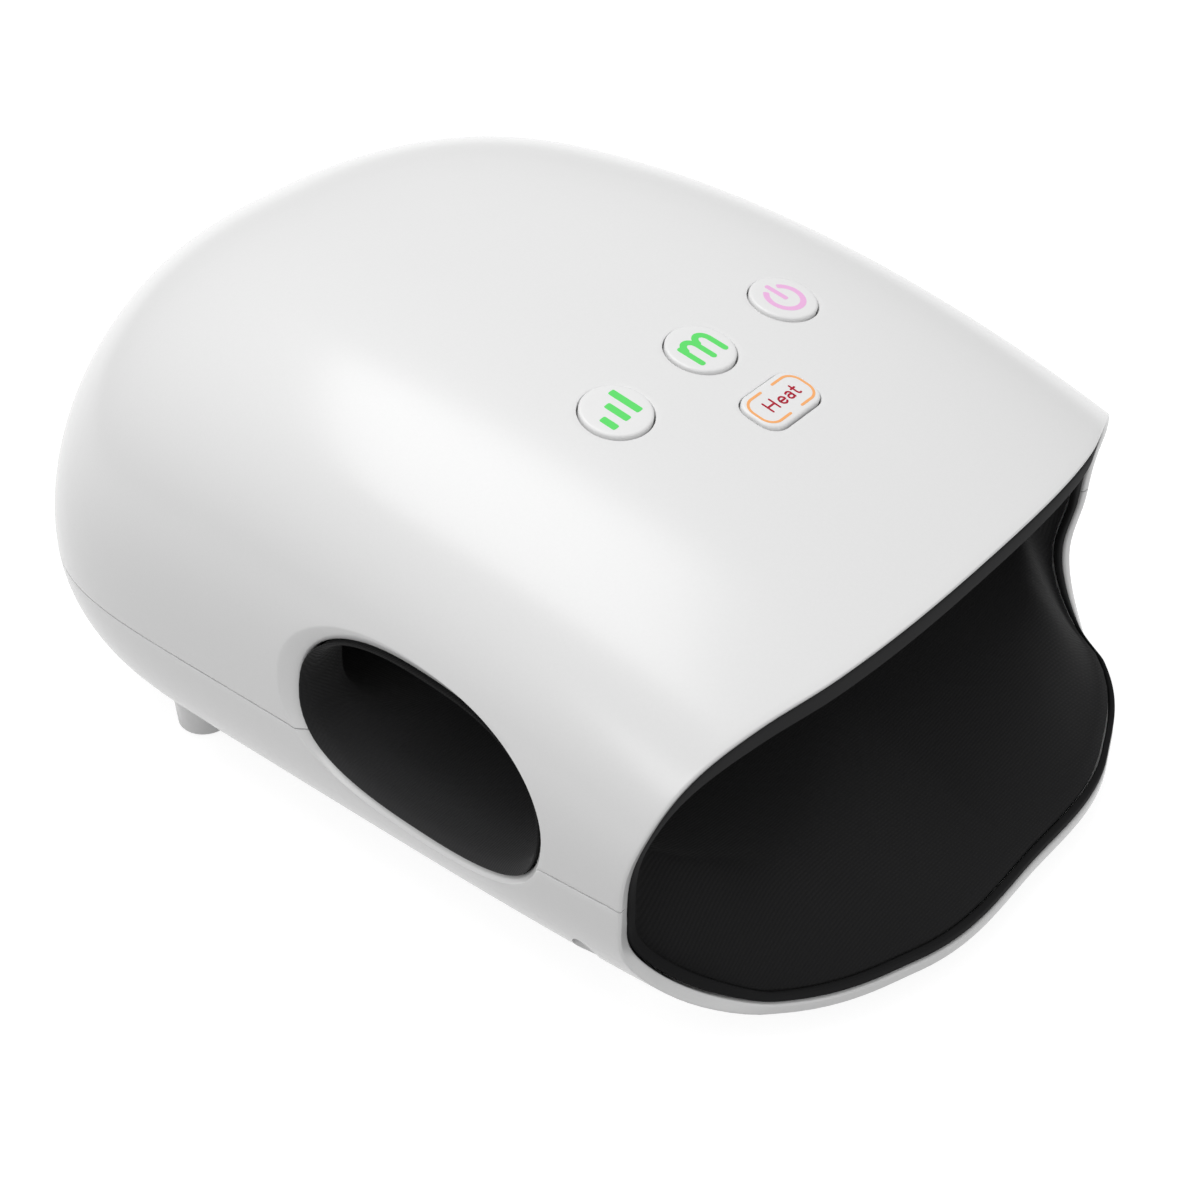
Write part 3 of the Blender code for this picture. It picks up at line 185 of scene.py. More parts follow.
def ways(angle):
    """Unit vectors in a plane: the cosines and sines of angles."""
    return np.stack([np.cos(angle), np.sin(angle)], -1)


def spaced(stops, step, along):
    """Values through all stops, evenly spaced by the length that along gives, about a step apart."""
    line, marks = [np.array(stops[:1], float)], [0]
    for low, high in zip(stops[:-1], stops[1:]):
        fine = np.linspace(low, high, 200)
        length = length_along(along(fine))
        count = max(2, round(length[-1]/step))
        line.append(np.interp(np.linspace(0, length[-1], count + 1)[1:], length, fine))
        line[-1][-1] = high
        marks.append(marks[-1] + count)
    return np.concatenate(line), marks


def quads_of(grid, flip):
    """The points of a grid and its four-cornered faces."""
    rows, columns = grid.shape[:2]
    index = np.arange(rows*columns).reshape(rows, columns)
    quads = np.stack([index[:-1, :-1], index[1:, :-1], index[1:, 1:], index[:-1, 1:]], -1).reshape(-1, 4)
    return grid.reshape(-1, 3), quads[:, ::-1] if flip else quads


def sewn(grids, mirror=False, fill=False):
    """One mesh from grids that share their borders: joined, and mirrored and its open loops closed if asked."""
    points, quads, start = [], [], 0
    for grid in grids:
        for side in ((1, -1) if mirror else (1,)):
            p, q = quads_of(grid*np.array([side, 1, 1]), side < 0)
            points.append(p)
            quads.append(q + start)
            start += len(p)
    mesh = bpy.data.meshes.new("sewn")
    mesh.from_pydata(np.concatenate(points).tolist(), [], np.concatenate(quads).tolist())
    bm = bmesh.new()
    bm.from_mesh(mesh)
    bmesh.ops.remove_doubles(bm, verts=bm.verts, dist=MERGE)
    bmesh.ops.dissolve_degenerate(bm, dist=TINY, edges=bm.edges)
    if fill:
        bmesh.ops.holes_fill(bm, edges=[edge for edge in bm.edges if edge.is_boundary], sides=0)
    bmesh.ops.recalc_face_normals(bm, faces=bm.faces)
    bm.to_mesh(mesh)
    bm.free()
    return mesh


def placed(name, data):
    """A new object in the scene, whose data takes its name too."""
    data.name = name
    made = bpy.data.objects.new(name, data)
    bpy.context.scene.collection.objects.link(made)
    return made


def piece(name, mesh, material, body, *stands_for, slot=None, sharp=40):
    """A finished piece of the object at the origin, riding on a body."""
    made = placed(name, mesh)
    mesh.materials.clear()
    mesh.materials.append(material)
    mesh.shade_smooth()
    mesh.set_sharp_from_angle(angle=math.radians(sharp))
    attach(made, body)
    if stands_for:
        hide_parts(*stands_for)
    return made


def shaded(name, colour, roughness, **sockets):
    """A Principled material with values on its own sockets. Returns it with its nodes and links."""
    made = bpy.data.materials.new(name)
    made.use_nodes = True
    made.diffuse_color = (*colour, 1)
    tree = made.node_tree
    shader = tree.nodes["Principled BSDF"]
    shader.inputs["Base Color"].default_value = (*colour, 1)
    shader.inputs["Roughness"].default_value = roughness
    for socket, value in sockets.items():
        shader.inputs[socket.replace("_", " ")].default_value = value
    return made, tree, shader


def node(tree, kind, inputs=None, **settings):
    """A shader node with its settings and inputs. An input may be a value or another node's output."""
    made = tree.nodes.new("ShaderNode" + kind)
    for key, value in settings.items():
        setattr(made, key, value)
    for key, value in (inputs or {}).items():
        if isinstance(value, bpy.types.NodeSocket):
            tree.links.new(value, made.inputs[key])
        else:
            made.inputs[key].default_value = value
    return made


def noise(tree, scale, detail=2.0, rough=0.5):
    """Noise on Object coordinates, at a scale per metre."""
    place = node(tree, "TexCoord").outputs["Object"]
    inputs = {"Vector": place, "Scale": scale, "Detail": detail, "Roughness": rough}
    return node(tree, "TexNoise", inputs).outputs["Fac"]


def ranged(tree, value, low, high, start=0.0, end=1.0):
    """A value carried over from one range, start to end, to another, low to high."""
    inputs = {"Value": value, "From Min": start, "From Max": end, "To Min": low, "To Max": high}
    return node(tree, "MapRange", inputs).outputs["Result"]


def mixed(tree, factor, first, second):
    """A colour between two, by a factor. The first may be another node's output."""
    first = first if isinstance(first, bpy.types.NodeSocket) else (*first, 1)
    return node(tree, "Mix", {"Factor": factor, 6: first, 7: (*second, 1)}, data_type="RGBA").outputs[2]


def feed(shader, socket, value):
    """Links another node's output to a shader's socket."""
    shader.id_data.links.new(value, shader.inputs[socket])


def bumped(tree, shader, height, distance, strength):
    """Bump on a shader, from a height texture of 0 to 1 and the depth in metres that it stands for."""
    made = node(tree, "Bump", {"Height": height, "Distance": distance, "Strength": strength})
    feed(shader, "Normal", made.outputs["Normal"])


CLOUD_SCALE, CLOUD, FLECK_SCALE, FLECK = 9, 0.012, 1900, 0.015


def moulded(name, colour, roughness, grain=0.000004, scale=2600, **sockets):
    """Moulded plastic: a faint unevenness of gloss and tone, and a fine grain."""
    made, tree, shader = shaded(name, colour, roughness, **sockets)
    gloss = ranged(tree, noise(tree, CLOUD_SCALE, 0), roughness - CLOUD, roughness + CLOUD)
    feed(shader, "Roughness", gloss)
    deep, pale = (tuple(c*share for c in colour) for share in (1 - FLECK, 1 + FLECK))
    feed(shader, "Base Color", mixed(tree, noise(tree, FLECK_SCALE), deep, pale))
    bumped(tree, shader, noise(tree, scale, 1), grain, 0.6)
    return made


# the thumb holes in the side view, the buttons in the plan, and how the skin's grid is laid round them
SEAM_ROUND, RIM_ROUND, RIM_SHARE = 0.00022, 0.00055, 0.38
HOLE_OUTER = dict(y=-0.0253, z=0.0437, half_length=0.0309, half_height=0.0198, tilt=9.0, power=2.25)
HOLE_INNER = dict(y=-0.0268, z=0.0431, half_length=0.0279, half_height=0.0179, tilt=6.0, power=2.5)
HOLE_FROM, HOLE_TO, HOLE_MIDDLE = -0.0600, 0.0100, (-0.0260, 0.0434)
# for each shell, about where a thumb hole meets the seam, as angles from its middle, with one between them
SEAM_BEARINGS = {1: (3.4, 2, -0.2), -1: (-2.9, -1, -0.2)}
COLLAR_DEPTH, COLLAR_WALL, COLLAR_ROOT, COLLAR_ROUND = 0.0050, 0.0022, 0.0036, 0.0003
# a thumb hole's slope: how far over from the outer outline to the inner one, and how deep
HOLE_SLOPE = (
    (0, 0), (0.05, 0.00002), (0.14, 0.00014), (0.30, 0.00042), (0.50, 0.00080), (0.70, 0.00120),
    (0.85, 0.00152), (0.94, 0.00180), (0.985, 0.00212), (1, 0.00250), (1, 0.00350), (1, COLLAR_DEPTH - COLLAR_ROUND),
)
BUTTONS = {
    "power": (0.0251, -0.0282),
    "mode": (0.0, -0.0276),
    "level": (-0.0251, -0.0282),
    "heat": (0.0, -0.0456),
}
BUTTON_RADIUS, CLEARANCE = 0.0067, 0.0003
HEAT_HALF_SIZE, HEAT_CORNER = (0.0080, 0.0048), 0.0034
BUTTON_LIP, BUTTON_BRINK, BUTTON_WALL = 0.0002, 0.00006, 0.0012
BUTTON_ROWS, BUTTON_COLUMNS = (-0.0540, -0.0385, -0.0185), (0.0126, 0.0376)
WINDOW_TOP_Z, WINDOW_FOOT_S, HOLE_RINGS, BUTTON_RINGS = 0.068, 1.38, 9, 7
GRID_STEP, SPACING_Y, FRONT_STEPS, REAR_STEPS, REAR_CROWDING = 0.0017, -0.028, 19, 56, 1.7
REAR_STOP, SEAM_STOP = REAR_Y - 0.0004, REAR_Y - 0.0001


def hole_outline(shape, angle, grow):
    """A thumb hole's outline in the side view: a tilted superellipse in its polar form."""
    turned = angle - math.radians(shape["tilt"])
    long, high, power = shape["half_length"] + grow, shape["half_height"] + grow, shape["power"]
    reach = (np.abs(np.cos(turned)/long)**power + np.abs(np.sin(turned)/high)**power)**(-1/power)
    return shape["y"] + reach*np.cos(angle), shape["z"] + reach*np.sin(angle)


def seam_angle(shape, near, grow):
    """The angle at which a thumb hole's outline crosses the seam, close to a given angle."""
    angle = near + np.linspace(-0.5, 0.5, 801)
    height = hole_outline(shape, angle, grow)[1] - SEAM_Z
    i = np.nonzero(height[:-1]*height[1:] <= 0)[0]
    i = i[np.argmin(np.abs(angle[i] - near))]
    return angle[i] + (angle[i + 1] - angle[i])*height[i]/(height[i] - height[i + 1])


def hole_points(angle, mix, grow=0.0):
    """Points between the hole's outer and inner outline. The first and last of them lie on the seam."""
    places = []
    for shape in (HOLE_OUTER, HOLE_INNER):
        first, last = seam_angle(shape, angle[0], grow), seam_angle(shape, angle[-1], grow)
        own = first + (angle - angle[0])*(last - first)/(angle[-1] - angle[0])
        places.append(hole_outline(shape, own, grow))
    y, z = (outer*(1 - mix) + inner*mix for outer, inner in zip(*places))
    z[[0, -1]] = SEAM_Z
    return y, z


def button_frame(x, y):
    """A button's own frame: its origin on the skin, local Z square to the skin, local X to the right."""
    def height(x, y):
        """The skin's height over the plan."""
        return float(skin(station_above(x, y), y)[2])

    step = 0.0005
    slope = [(height(x + dx, y + dy) - height(x - dx, y - dy))/(2*step) for dx, dy in ((step, 0), (0, step))]
    up = Vector((-slope[0], -slope[1], 1)).normalized()
    right = (Vector((1, 0, 0)) - up*up.x).normalized()
    turn = Matrix((right, up.cross(right), up)).transposed().to_4x4()
    return Matrix.Translation((x, y, height(x, y))) @ turn


def cap_outline(name, angle, grow):
    """A cap's outline about its middle: a circle, or for the heat button a rounded oblong met by each ray."""
    if name != "heat":
        return ways(angle)*(BUTTON_RADIUS + grow)
    half = np.array(HEAT_HALF_SIZE) + grow
    radius = HEAT_CORNER + grow
    way = ways(np.linspace(-0.02, 2*math.pi + 0.02, 721))
    corners = way*radius + np.sign(way)*(half - radius)
    run = length_along(corners)
    fine = np.linspace(0, run[-1], 2001)
    x, y = (np.interp(fine, run, corners[:, k]) for k in (0, 1))
    reach = np.interp(np.mod(angle, 2*math.pi), np.unwrap(np.arctan2(y, x)), np.hypot(x, y))
    return ways(angle)*reach[..., None]


def moved(points, matrix):
    """Points carried by a matrix."""
    m = np.array(matrix)
    return points @ m[:3, :3].T + m[:3, 3]


def seam_lift(y, side):
    """How far the skin stops short of the seam plane: half the gap, and the edge's rounding, which fades
    out at the rim and at the thumb hole."""
    start, _, end = hole_points(np.array(SEAM_BEARINGS[side]), 0)[0]
    fade, rim_end = 0.002, EDGE_Y[5] + 0.0008
    clear = np.minimum(ease((y - rim_end)/fade), ease(np.minimum(np.abs(y - start), np.abs(y - end))/fade))
    return GAP/2 + SEAM_ROUND*clear*(1 - ease((y - start)/(fade/2))*ease((end - y)/(fade/2)))


def parted(points, side, rounding):
    """Points of one shell, pushed off the seam plane: the new distance from it is the root of the sum of the
    squares of the old one and the lift."""
    lift = seam_lift(points[..., 1], side) if rounding else GAP/2
    points[..., 2] = SEAM_Z + side*np.sqrt((points[..., 2] - SEAM_Z)**2 + lift**2)
    return points


def window(border, flat, station, outline, rings):
    """Rings from a hole's outline to its window's border, evenly between the two in a flat view."""
    t = np.linspace(0, 1, rings)[:, None]
    a, b = (outline[k]*(1 - t) + flat[k]*t for k in (0, 1))
    s, y = station(a, b)
    s[-1], y[-1] = border
    return s, y


def border_of(s_line, y_line, full=False):
    """The grid points round a window: up its front side, along, and down its rear side."""
    s = np.concatenate([s_line, np.full(len(y_line) - 2, s_line[-1]), s_line[::-1]])
    y = np.concatenate([np.full(len(s_line), y_line[0]), y_line[1:-1], np.full(len(s_line), y_line[-1])])
    if full:
        s = np.concatenate([s, np.full(len(y_line) - 1, s_line[0])])
        y = np.concatenate([y, y_line[::-1][1:]])
    return s, y


def outer_skin(s, y, side):
    """Points of a shell's outer skin."""
    return parted(skin(s, y), side, True)


def inner_skin(s, y, side):
    """Points of a shell's inner skin, whose last row is drawn together behind the back of the body."""
    depth = np.where(y < HOLE_FROM, wall_at(s, y), WALL)
    points = inset(s, np.minimum(y, REAR_STOP), depth)
    points[..., 0] = np.where((y >= REAR_Y) | (s <= 0) | (s >= 3), 0, points[..., 0])
    if side > 0:
        points[y >= REAR_Y] = (0, REAR_Y - WALL, SEAM_Z)
    points[..., 2] = np.where(s == 1, SEAM_Z, points[..., 2])
    return parted(points, side, False)


def hole_window(border, angle, mix, grow):
    """The rings round a thumb hole, spread in the side view."""
    beside = border[1], skin(*border)[..., 2]
    outline = hole_points(angle, mix, grow)
    return window(border, beside, lambda y, z: (station_beside(y, z), y), outline, HOLE_RINGS)


def button_window(name, border, grow):
    """The rings round a button's hole, spread in the plan. A hole on the middle line is a half one."""
    x, y = BUTTONS[name]
    plan = skin(*border)[..., 0], border[1]
    ring = cap_outline(name, np.arctan2(plan[1] - y, plan[0] - x), CLEARANCE + grow)
    ring = moved(np.concatenate([ring, np.zeros((len(ring), 1))], -1), button_frame(x, y))
    if x == 0:
        ring[[0, -1], 0] = 0
    return window(border, plan, lambda x, y: (station_above(x, y), y), (ring[:, 0], ring[:, 1]), BUTTON_RINGS)


def rim_round(s):
    """The radius of the rim's edges: a share of the wall, up to a limit."""
    return np.minimum(RIM_ROUND, wall_at(s, front_edge(s))*RIM_SHARE)


def rim_rows(s, side):
    """The rim between the two skins, rounded on both edges."""
    edge, rim = front_edge(s), rim_round(s)
    start = edge + rim
    wall = wall_at(s, start)
    turn = np.linspace(0, math.pi/2, 5)
    rows = [(rim*(1 - math.sin(a)), rim*(1 - math.cos(a))) for a in turn]
    rows += [(rim*(1 - math.cos(a)), wall - rim*(1 - math.sin(a))) for a in turn]
    grid = np.stack([inset(s, edge + dy, depth) for dy, depth in rows], 1)
    grid[(s <= 0) | (s >= 3), :, 0] = 0
    grid[s == 1, :, 2] = SEAM_Z
    grid = parted(grid, side, False)
    grid[:, 0], grid[:, -1] = outer_skin(s, start, side), inner_skin(s, start, side)
    return grid


def flank(y, z, depth):
    """Points of the right flank at places in the side view, moved in along X by a depth."""
    points = skin(station_beside(y, z), y)
    points[..., 0] -= depth
    points[..., 2] = z
    return points


def hole_rows(angle, outside, inside, side):
    """A thumb hole: a rounded lip, the slope, a rounded brink, and the collar behind the wall."""
    rows = [(mix, depth, 0) for mix, depth in HOLE_SLOPE] + [
        (1, COLLAR_DEPTH, COLLAR_ROUND), (1, COLLAR_DEPTH, COLLAR_WALL - COLLAR_ROUND),
        (1, COLLAR_DEPTH - COLLAR_ROUND, COLLAR_WALL), (1, COLLAR_ROOT, COLLAR_WALL),
    ]
    made = [outer_skin(*outside, side)]
    for mix, depth, grow in rows[1:]:
        made.append(parted(flank(*hole_points(angle, mix, grow), depth), side, False))
    return np.stack(made + [inner_skin(*inside, side)])


def button_rows(lips, inside, side):
    """A button's hole: a small rounding and a straight wall."""
    rows = [outer_skin(*lips[0], side)]
    for lip, depth in ((1, BUTTON_BRINK), (2, BUTTON_LIP), (2, BUTTON_WALL)):
        rows.append(parted(inset(*lips[lip], depth), side, False))
    return np.stack(rows + [inner_skin(*inside, side)])


def seam_rows(y, side):
    """The rounding along a stretch of the seam."""
    rounding = seam_lift(y, side) - GAP/2
    at_back = y >= REAR_Y - TINY
    rows = [outer_skin(np.ones_like(y), y, side)]
    for bend in np.linspace(0, math.pi/2, 4)[1:]:
        depth = rounding*(1 - math.cos(bend))
        points = inset(1.0, np.minimum(y, SEAM_STOP), depth)
        points[at_back] = np.array([0, REAR_Y, 0]) - np.outer(depth[at_back], (0, 1, 0))
        points[:, 2] = SEAM_Z + side*(GAP/2 + rounding*(1 - math.sin(bend)))
        rows.append(points)
    return np.stack(rows)


def shell_grids(side):
    """All faces of a shell's right half. Its skins are grids in s and y, with windows in them for the thumb
    hole and the buttons."""
    upper = side > 0
    row_y = BUTTONS["mode"][1]
    s_stops = [1.0, WINDOW_FOOT_S, 2.0, 3.0]
    if upper:
        columns = (float(station_above(x, row_y)) for x in BUTTON_COLUMNS)
        s_stops = [0.0, *columns, float(station_beside(row_y, WINDOW_TOP_Z)), 1.0]
    s_line, s_at = spaced(s_stops, GRID_STEP, lambda s: skin(s, np.full_like(s, SPACING_Y)))
    y_line, y_at = spaced([HOLE_FROM, *BUTTON_ROWS, HOLE_TO], GRID_STEP, lambda y: np.stack([y, 0*y], -1))
    start = front_edge(s_line) + rim_round(s_line)
    front = start[:, None] + (HOLE_FROM - start[:, None])*np.linspace(0, 1, FRONT_STEPS)
    rear = HOLE_TO + (REAR_Y - HOLE_TO)*(1 - (1 - np.linspace(0, 1, REAR_STEPS))**REAR_CROWDING)

    def block(s, y):
        """A full grid from a line of s and a line of y."""
        return np.broadcast_to(s[:, None], (len(s), len(y))), np.broadcast_to(y, (len(s), len(y)))

    blocks = [(np.broadcast_to(s_line[:, None], front.shape), front), block(s_line, rear)]
    borders = {}
    if upper:
        (a, b, c), (p, q, r) = s_at[1:4], y_at[1:4]
        near, far = y_line[p:q + 1], y_line[q:r + 1]
        blocks += [block(s_line[:c + 1], y_line[:p + 1]), block(s_line[a:c + 1], near)]
        blocks += [block(s_line[b:c + 1], far), block(s_line[:c + 1], y_line[r:])]
        borders["heat"], borders["mode"] = border_of(s_line[:a + 1], near), border_of(s_line[:a + 1], far)
        borders["power"] = border_of(s_line[a:b + 1], far, full=True)
        hole_border = border_of(s_line[c:][::-1], y_line)
    else:
        a = s_at[1]
        blocks.append(block(s_line[a:], y_line))
        hole_border = border_of(s_line[:a + 1], y_line)
    angle = np.arctan2(skin(*hole_border)[..., 2] - HOLE_MIDDLE[1], hole_border[1] - HOLE_MIDDLE[0])
    angle = np.unwrap(angle)
    if not upper:
        angle = np.where(angle > 0, angle - 2*math.pi, angle)

    def windows(mix, hole_grow, cap_grow):
        """All windows, the thumb hole's at a mix of its outlines, each let out by its own amount."""
        made = [hole_window(hole_border, angle, mix, hole_grow)]
        return made + [button_window(name, border, cap_grow) for name, border in borders.items()]

    def first_rings(made):
        """The rings along the holes themselves."""
        return [(s[0], y[0]) for s, y in made]

    hollow = windows(1, COLLAR_WALL, COLLAR_ROUND)
    grids = [outer_skin(s, y, side) for s, y in blocks + windows(0, 0, BUTTON_LIP)]
    grids += [inner_skin(s, y, side) for s, y in blocks + hollow]
    plain, inside = windows(0, 0, 0), first_rings(hollow)
    grids += [rim_rows(s_line, side), hole_rows(angle, first_rings(plain)[0], inside[0], side)]
    lips = [first_rings(windows(0, 0, grow)[1:]) for grow in (BUTTON_LIP, BUTTON_BRINK, 0.0)]
    grids += [button_rows(rings, behind, side) for *rings, behind in zip(*lips, inside[1:])]
    seam_y = np.unique(np.round(np.concatenate([y[s == 1] for s, y in blocks + plain]), 9))
    ends = hole_points(angle, 0)[0][[0, -1]]
    stretches = seam_y[seam_y <= ends.min() + TINY], seam_y[seam_y >= ends.max() - TINY]
    return grids + [seam_rows(stretch, side) for stretch in stretches]


WHITE = moulded("white_gloss_abs", (0.80, 0.80, 0.80), 0.26, Coat_Weight=0.30, Coat_Roughness=0.20)
upper_casing, lower_casing = (
    piece(
        half + "_casing", sewn(shell_grids(side), mirror=True, fill=True), WHITE, "massager", half + "_shell",
        slot="white_abs",
    )
    for half, side in (("upper", 1), ("lower", -1))
)


def round_z(radius, height, angle):
    """Points round the Z axis: the radius times the angle's cosine and sine, and the height."""
    return np.stack([radius*np.cos(angle), radius*np.sin(angle), height + 0*angle], -1)


def spun(profile, place=(0, 0, 0), steps=40):
    """A profile of radius and height, carried round an upright axis through a place."""
    angle = np.linspace(0, 2*math.pi, steps + 1)[None, :]
    radius, height = (np.array(column)[:, None] for column in zip(*profile))
    return moved(round_z(radius, height, angle), Matrix.Translation(place))


def levels(rows, axis=0):
    """A grid from rows of flat points, each at its own height."""
    return np.stack([np.concatenate([xy, np.full((len(xy), 1), height)], -1) for xy, height in rows], axis)


def cuboid(low, high):
    """A box's six sides as one grid of rings: low end, round, and high end."""
    (x0, y0, z0), (x1, y1, z1) = low, high
    ring = np.array([(x0, y0), (x1, y0), (x1, y1), (x0, y1), (x0, y0)])
    middle = np.array([((x0 + x1)/2, (y0 + y1)/2)]*5)
    return levels([(middle, z0), (ring, z0), (ring, z1), (middle, z1)])


def carved(made, *steps, sharp=None):
    """Joins solids to a piece or cuts them out of it, in turn, and keeps the result as its mesh, with edges
    over an angle sharp if asked."""
    helpers = [placed(f"{made.name}_step_{number}", mesh) for number, (mesh, _) in enumerate(steps)]
    for helper, (_, operation) in zip(helpers, steps):
        cut = made.modifiers.new("cut", "BOOLEAN")
        cut.operation, cut.object, cut.solver = operation, helper, "MANIFOLD"
    bpy.context.view_layer.update()
    whole = made.evaluated_get(bpy.context.evaluated_depsgraph_get())
    mesh = bpy.data.meshes.new_from_object(whole)
    made.modifiers.clear()
    made.data = mesh
    mesh.name = made.name
    if sharp:
        mesh.set_sharp_from_angle(angle=math.radians(sharp))
    for helper in helpers:
        bpy.data.objects.remove(helper, do_unlink=True)


def trimmed(grids, volume):
    """Solids that stop at the inside of the body's skin."""
    made = placed("trimmed", sewn(grids))
    carved(made, (volume, "INTERSECT"))
    mesh = made.data
    bpy.data.objects.remove(made, do_unlink=True)
    return mesh


BOSS_TOP = SEAM_Z - GAP/2
SCREWS = {
    "front": dict(x=0.0730, y=-0.0611, seat=0.0250, post_radius=0.0028, post_top=0.0520),
    "rear": dict(x=0.0520, y=0.0780, seat=0.0240, post_radius=0.0034, post_top=0.0900),
}
FEET = {"front": (0.0570, -0.0660), "rear": (0.0632, 0.0497)}
PAD_RADIUS, PAD_HEIGHT, POST_INSET, CUT_MARGIN, WELL_MARGIN = 0.0042, 0.0024, 0.0008, 0.002, 0.005
PILOT_RADIUS, PILOT_DEPTH, RIB_START, RIB_HALF = 0.0016, 0.0135, 0.0010, 0.0008
BOSS_RADIUS, WELL_RADIUS, SHANK_HOLE = 0.0035, 0.0028, 0.0017
SOCKET_Z, SLOT_HALF_WIDTH, SLOT_RADIUS, SLOT_FROM, SLOT_TO = 0.0290, 0.0049, 0.0019, 0.090, 0.120


def body_within(depth):
    """The body's skin, drawn in by a depth and closed at the mouth, as a solid to trim others by."""
    s = np.concatenate([np.linspace(0, 1, 40), np.linspace(1, 2, 30)[1:], np.linspace(2, 3, 12)[1:]])[:, None]
    y = front_edge(s) + (REAR_Y - front_edge(s))*(1 - (1 - np.linspace(0, 1, 70)[None, :])**REAR_CROWDING)
    points = inset(s, np.minimum(y, REAR_STOP), depth)
    points[:, -1, 0] = 0
    return sewn([points], mirror=True, fill=True)


def rod(x, y, low, high, radius):
    """An upright round rod."""
    return spun([(0, low), (radius, low), (radius, high), (0, high)], (x, y, 0), 32)


screw_places = [
    (f"{row}_{name}", side*place["x"], place["y"], place)
    for row, place in SCREWS.items() for name, side in SIDES.items()
]
foot_places = [(f"{row}_{name}", side*x, y) for row, (x, y) in FEET.items() for name, side in SIDES.items()]
within = body_within(POST_INSET)
posts = [rod(x, y, BOSS_TOP + GAP, place["post_top"], place["post_radius"]) for _, x, y, place in screw_places]
pilots = [rod(x, y, BOSS_TOP - CUT_MARGIN, BOSS_TOP + PILOT_DEPTH, PILOT_RADIUS) for _, x, y, _ in screw_places]
front = SCREWS["front"]
ribs = []
for side in SIDES.values():
    x0, x1 = sorted((side*(front["x"] + RIB_START), side*HALF_WIDTH))
    low = x0, front["y"] - RIB_HALF, SEAM_Z + RIB_START
    ribs.append(cuboid(low, (x1, front["y"] + RIB_HALF, front["post_top"])))
carved(
    upper_casing,
    (trimmed(posts, within), "UNION"),
    (trimmed(ribs, within), "UNION"),
    (sewn(pilots), "DIFFERENCE"),
    sharp=30,
)

STUB_LOW, STUB_TOP = 0.0004, 0.0135
stub = [
    (0, STUB_LOW), (0.0050, STUB_LOW), (0.00545, 0.00055), (0.0057, 0.0010), (0.0062, STUB_TOP), (0, STUB_TOP)
]
bosses = [rod(x, y, 0, BOSS_TOP, BOSS_RADIUS) for _, x, y, _ in screw_places]
wells = [rod(x, y, -WELL_MARGIN, place["seat"], WELL_RADIUS) for _, x, y, place in screw_places]
shanks = [
    rod(x, y, place["seat"] - CUT_MARGIN, BOSS_TOP + CUT_MARGIN, SHANK_HOLE) for _, x, y, place in screw_places
]
recesses = [rod(x, y, -CUT_MARGIN, PAD_HEIGHT + GAP, PAD_RADIUS + GAP) for _, x, y in foot_places]
# the charging slot: an oblong with round ends, carried along Y
turn = np.linspace(0, 2*math.pi, 49)
slot_x = np.sign(np.cos(turn))*(SLOT_HALF_WIDTH - SLOT_RADIUS) + SLOT_RADIUS*np.cos(turn)
slot_ring = np.stack([slot_x, 0*turn, SOCKET_Z + SLOT_RADIUS*np.sin(turn)], -1)
slot_hub = np.array([(0, 0, SOCKET_Z)]*len(turn))
slot = np.stack([slot_hub, slot_ring, slot_ring, slot_hub])
slot += np.array([SLOT_FROM, SLOT_FROM, SLOT_TO, SLOT_TO])[:, None, None]*np.array([0, 1, 0])
carved(
    lower_casing,
    (trimmed(bosses, within), "UNION"),
    (sewn([spun(stub, (x, y, 0)) for _, x, y in foot_places]), "UNION"),
    (sewn(wells), "DIFFERENCE"),
    (sewn(shanks), "DIFFERENCE"),
    (sewn(recesses), "DIFFERENCE"),
    (sewn([slot]), "DIFFERENCE"),
    sharp=30,
)

# The mouth trim. A soft dark-grey moulded ring that is pressed in behind the casing's front edge and clamps
# the hem of the fabric. It shows as a thin even band under the visor and round the tongue.

TRIM_START, TRIM_DEPTH, TRIM_THICKNESS, TRIM_THICKER_ABOVE, TRIM_GAP = 0.0002, 0.0014, 0.0022, 0.0014, 0.0005
THICKER_TO_S, UPRIGHT_TO_S, TRIM_ROUND, TRIM_STEP = 0.35, 0.55, 0.0005, 0.0014
ring_s = spaced([0.0, 1.0, 2.0, 3.0], TRIM_STEP, lambda s: skin(s, front_edge(s)))[0]


def lip_thickness(s):
    """The casing's wall just behind its front edge."""
    return wall_at(s, front_edge(s) + TRIM_DEPTH)


def trim_thickness(s):
    """The trim hangs deeper under the visor than it stands along the tongue."""
    return TRIM_THICKNESS + TRIM_THICKER_ABOVE*(1 - ease((s - THICKER_TO_S)/(1 - THICKER_TO_S)))


def upright(s, y, depth):
    """A point under the mouth's edge: inset by a depth, but straight down under the visor, where it would
    otherwise lean back with the skin's slope."""
    point = inset(s, y, depth)
    point[..., 1] += (y - point[..., 1])*(1 - ease((s - UPRIGHT_TO_S)/(1 - UPRIGHT_TO_S)))
    return point


def axes_of(tree):
    """The Object coordinates X, Y and Z, each on its own."""
    return node(tree, "SeparateXYZ", {"Vector": node(tree, "TexCoord").outputs["Object"]}).outputs


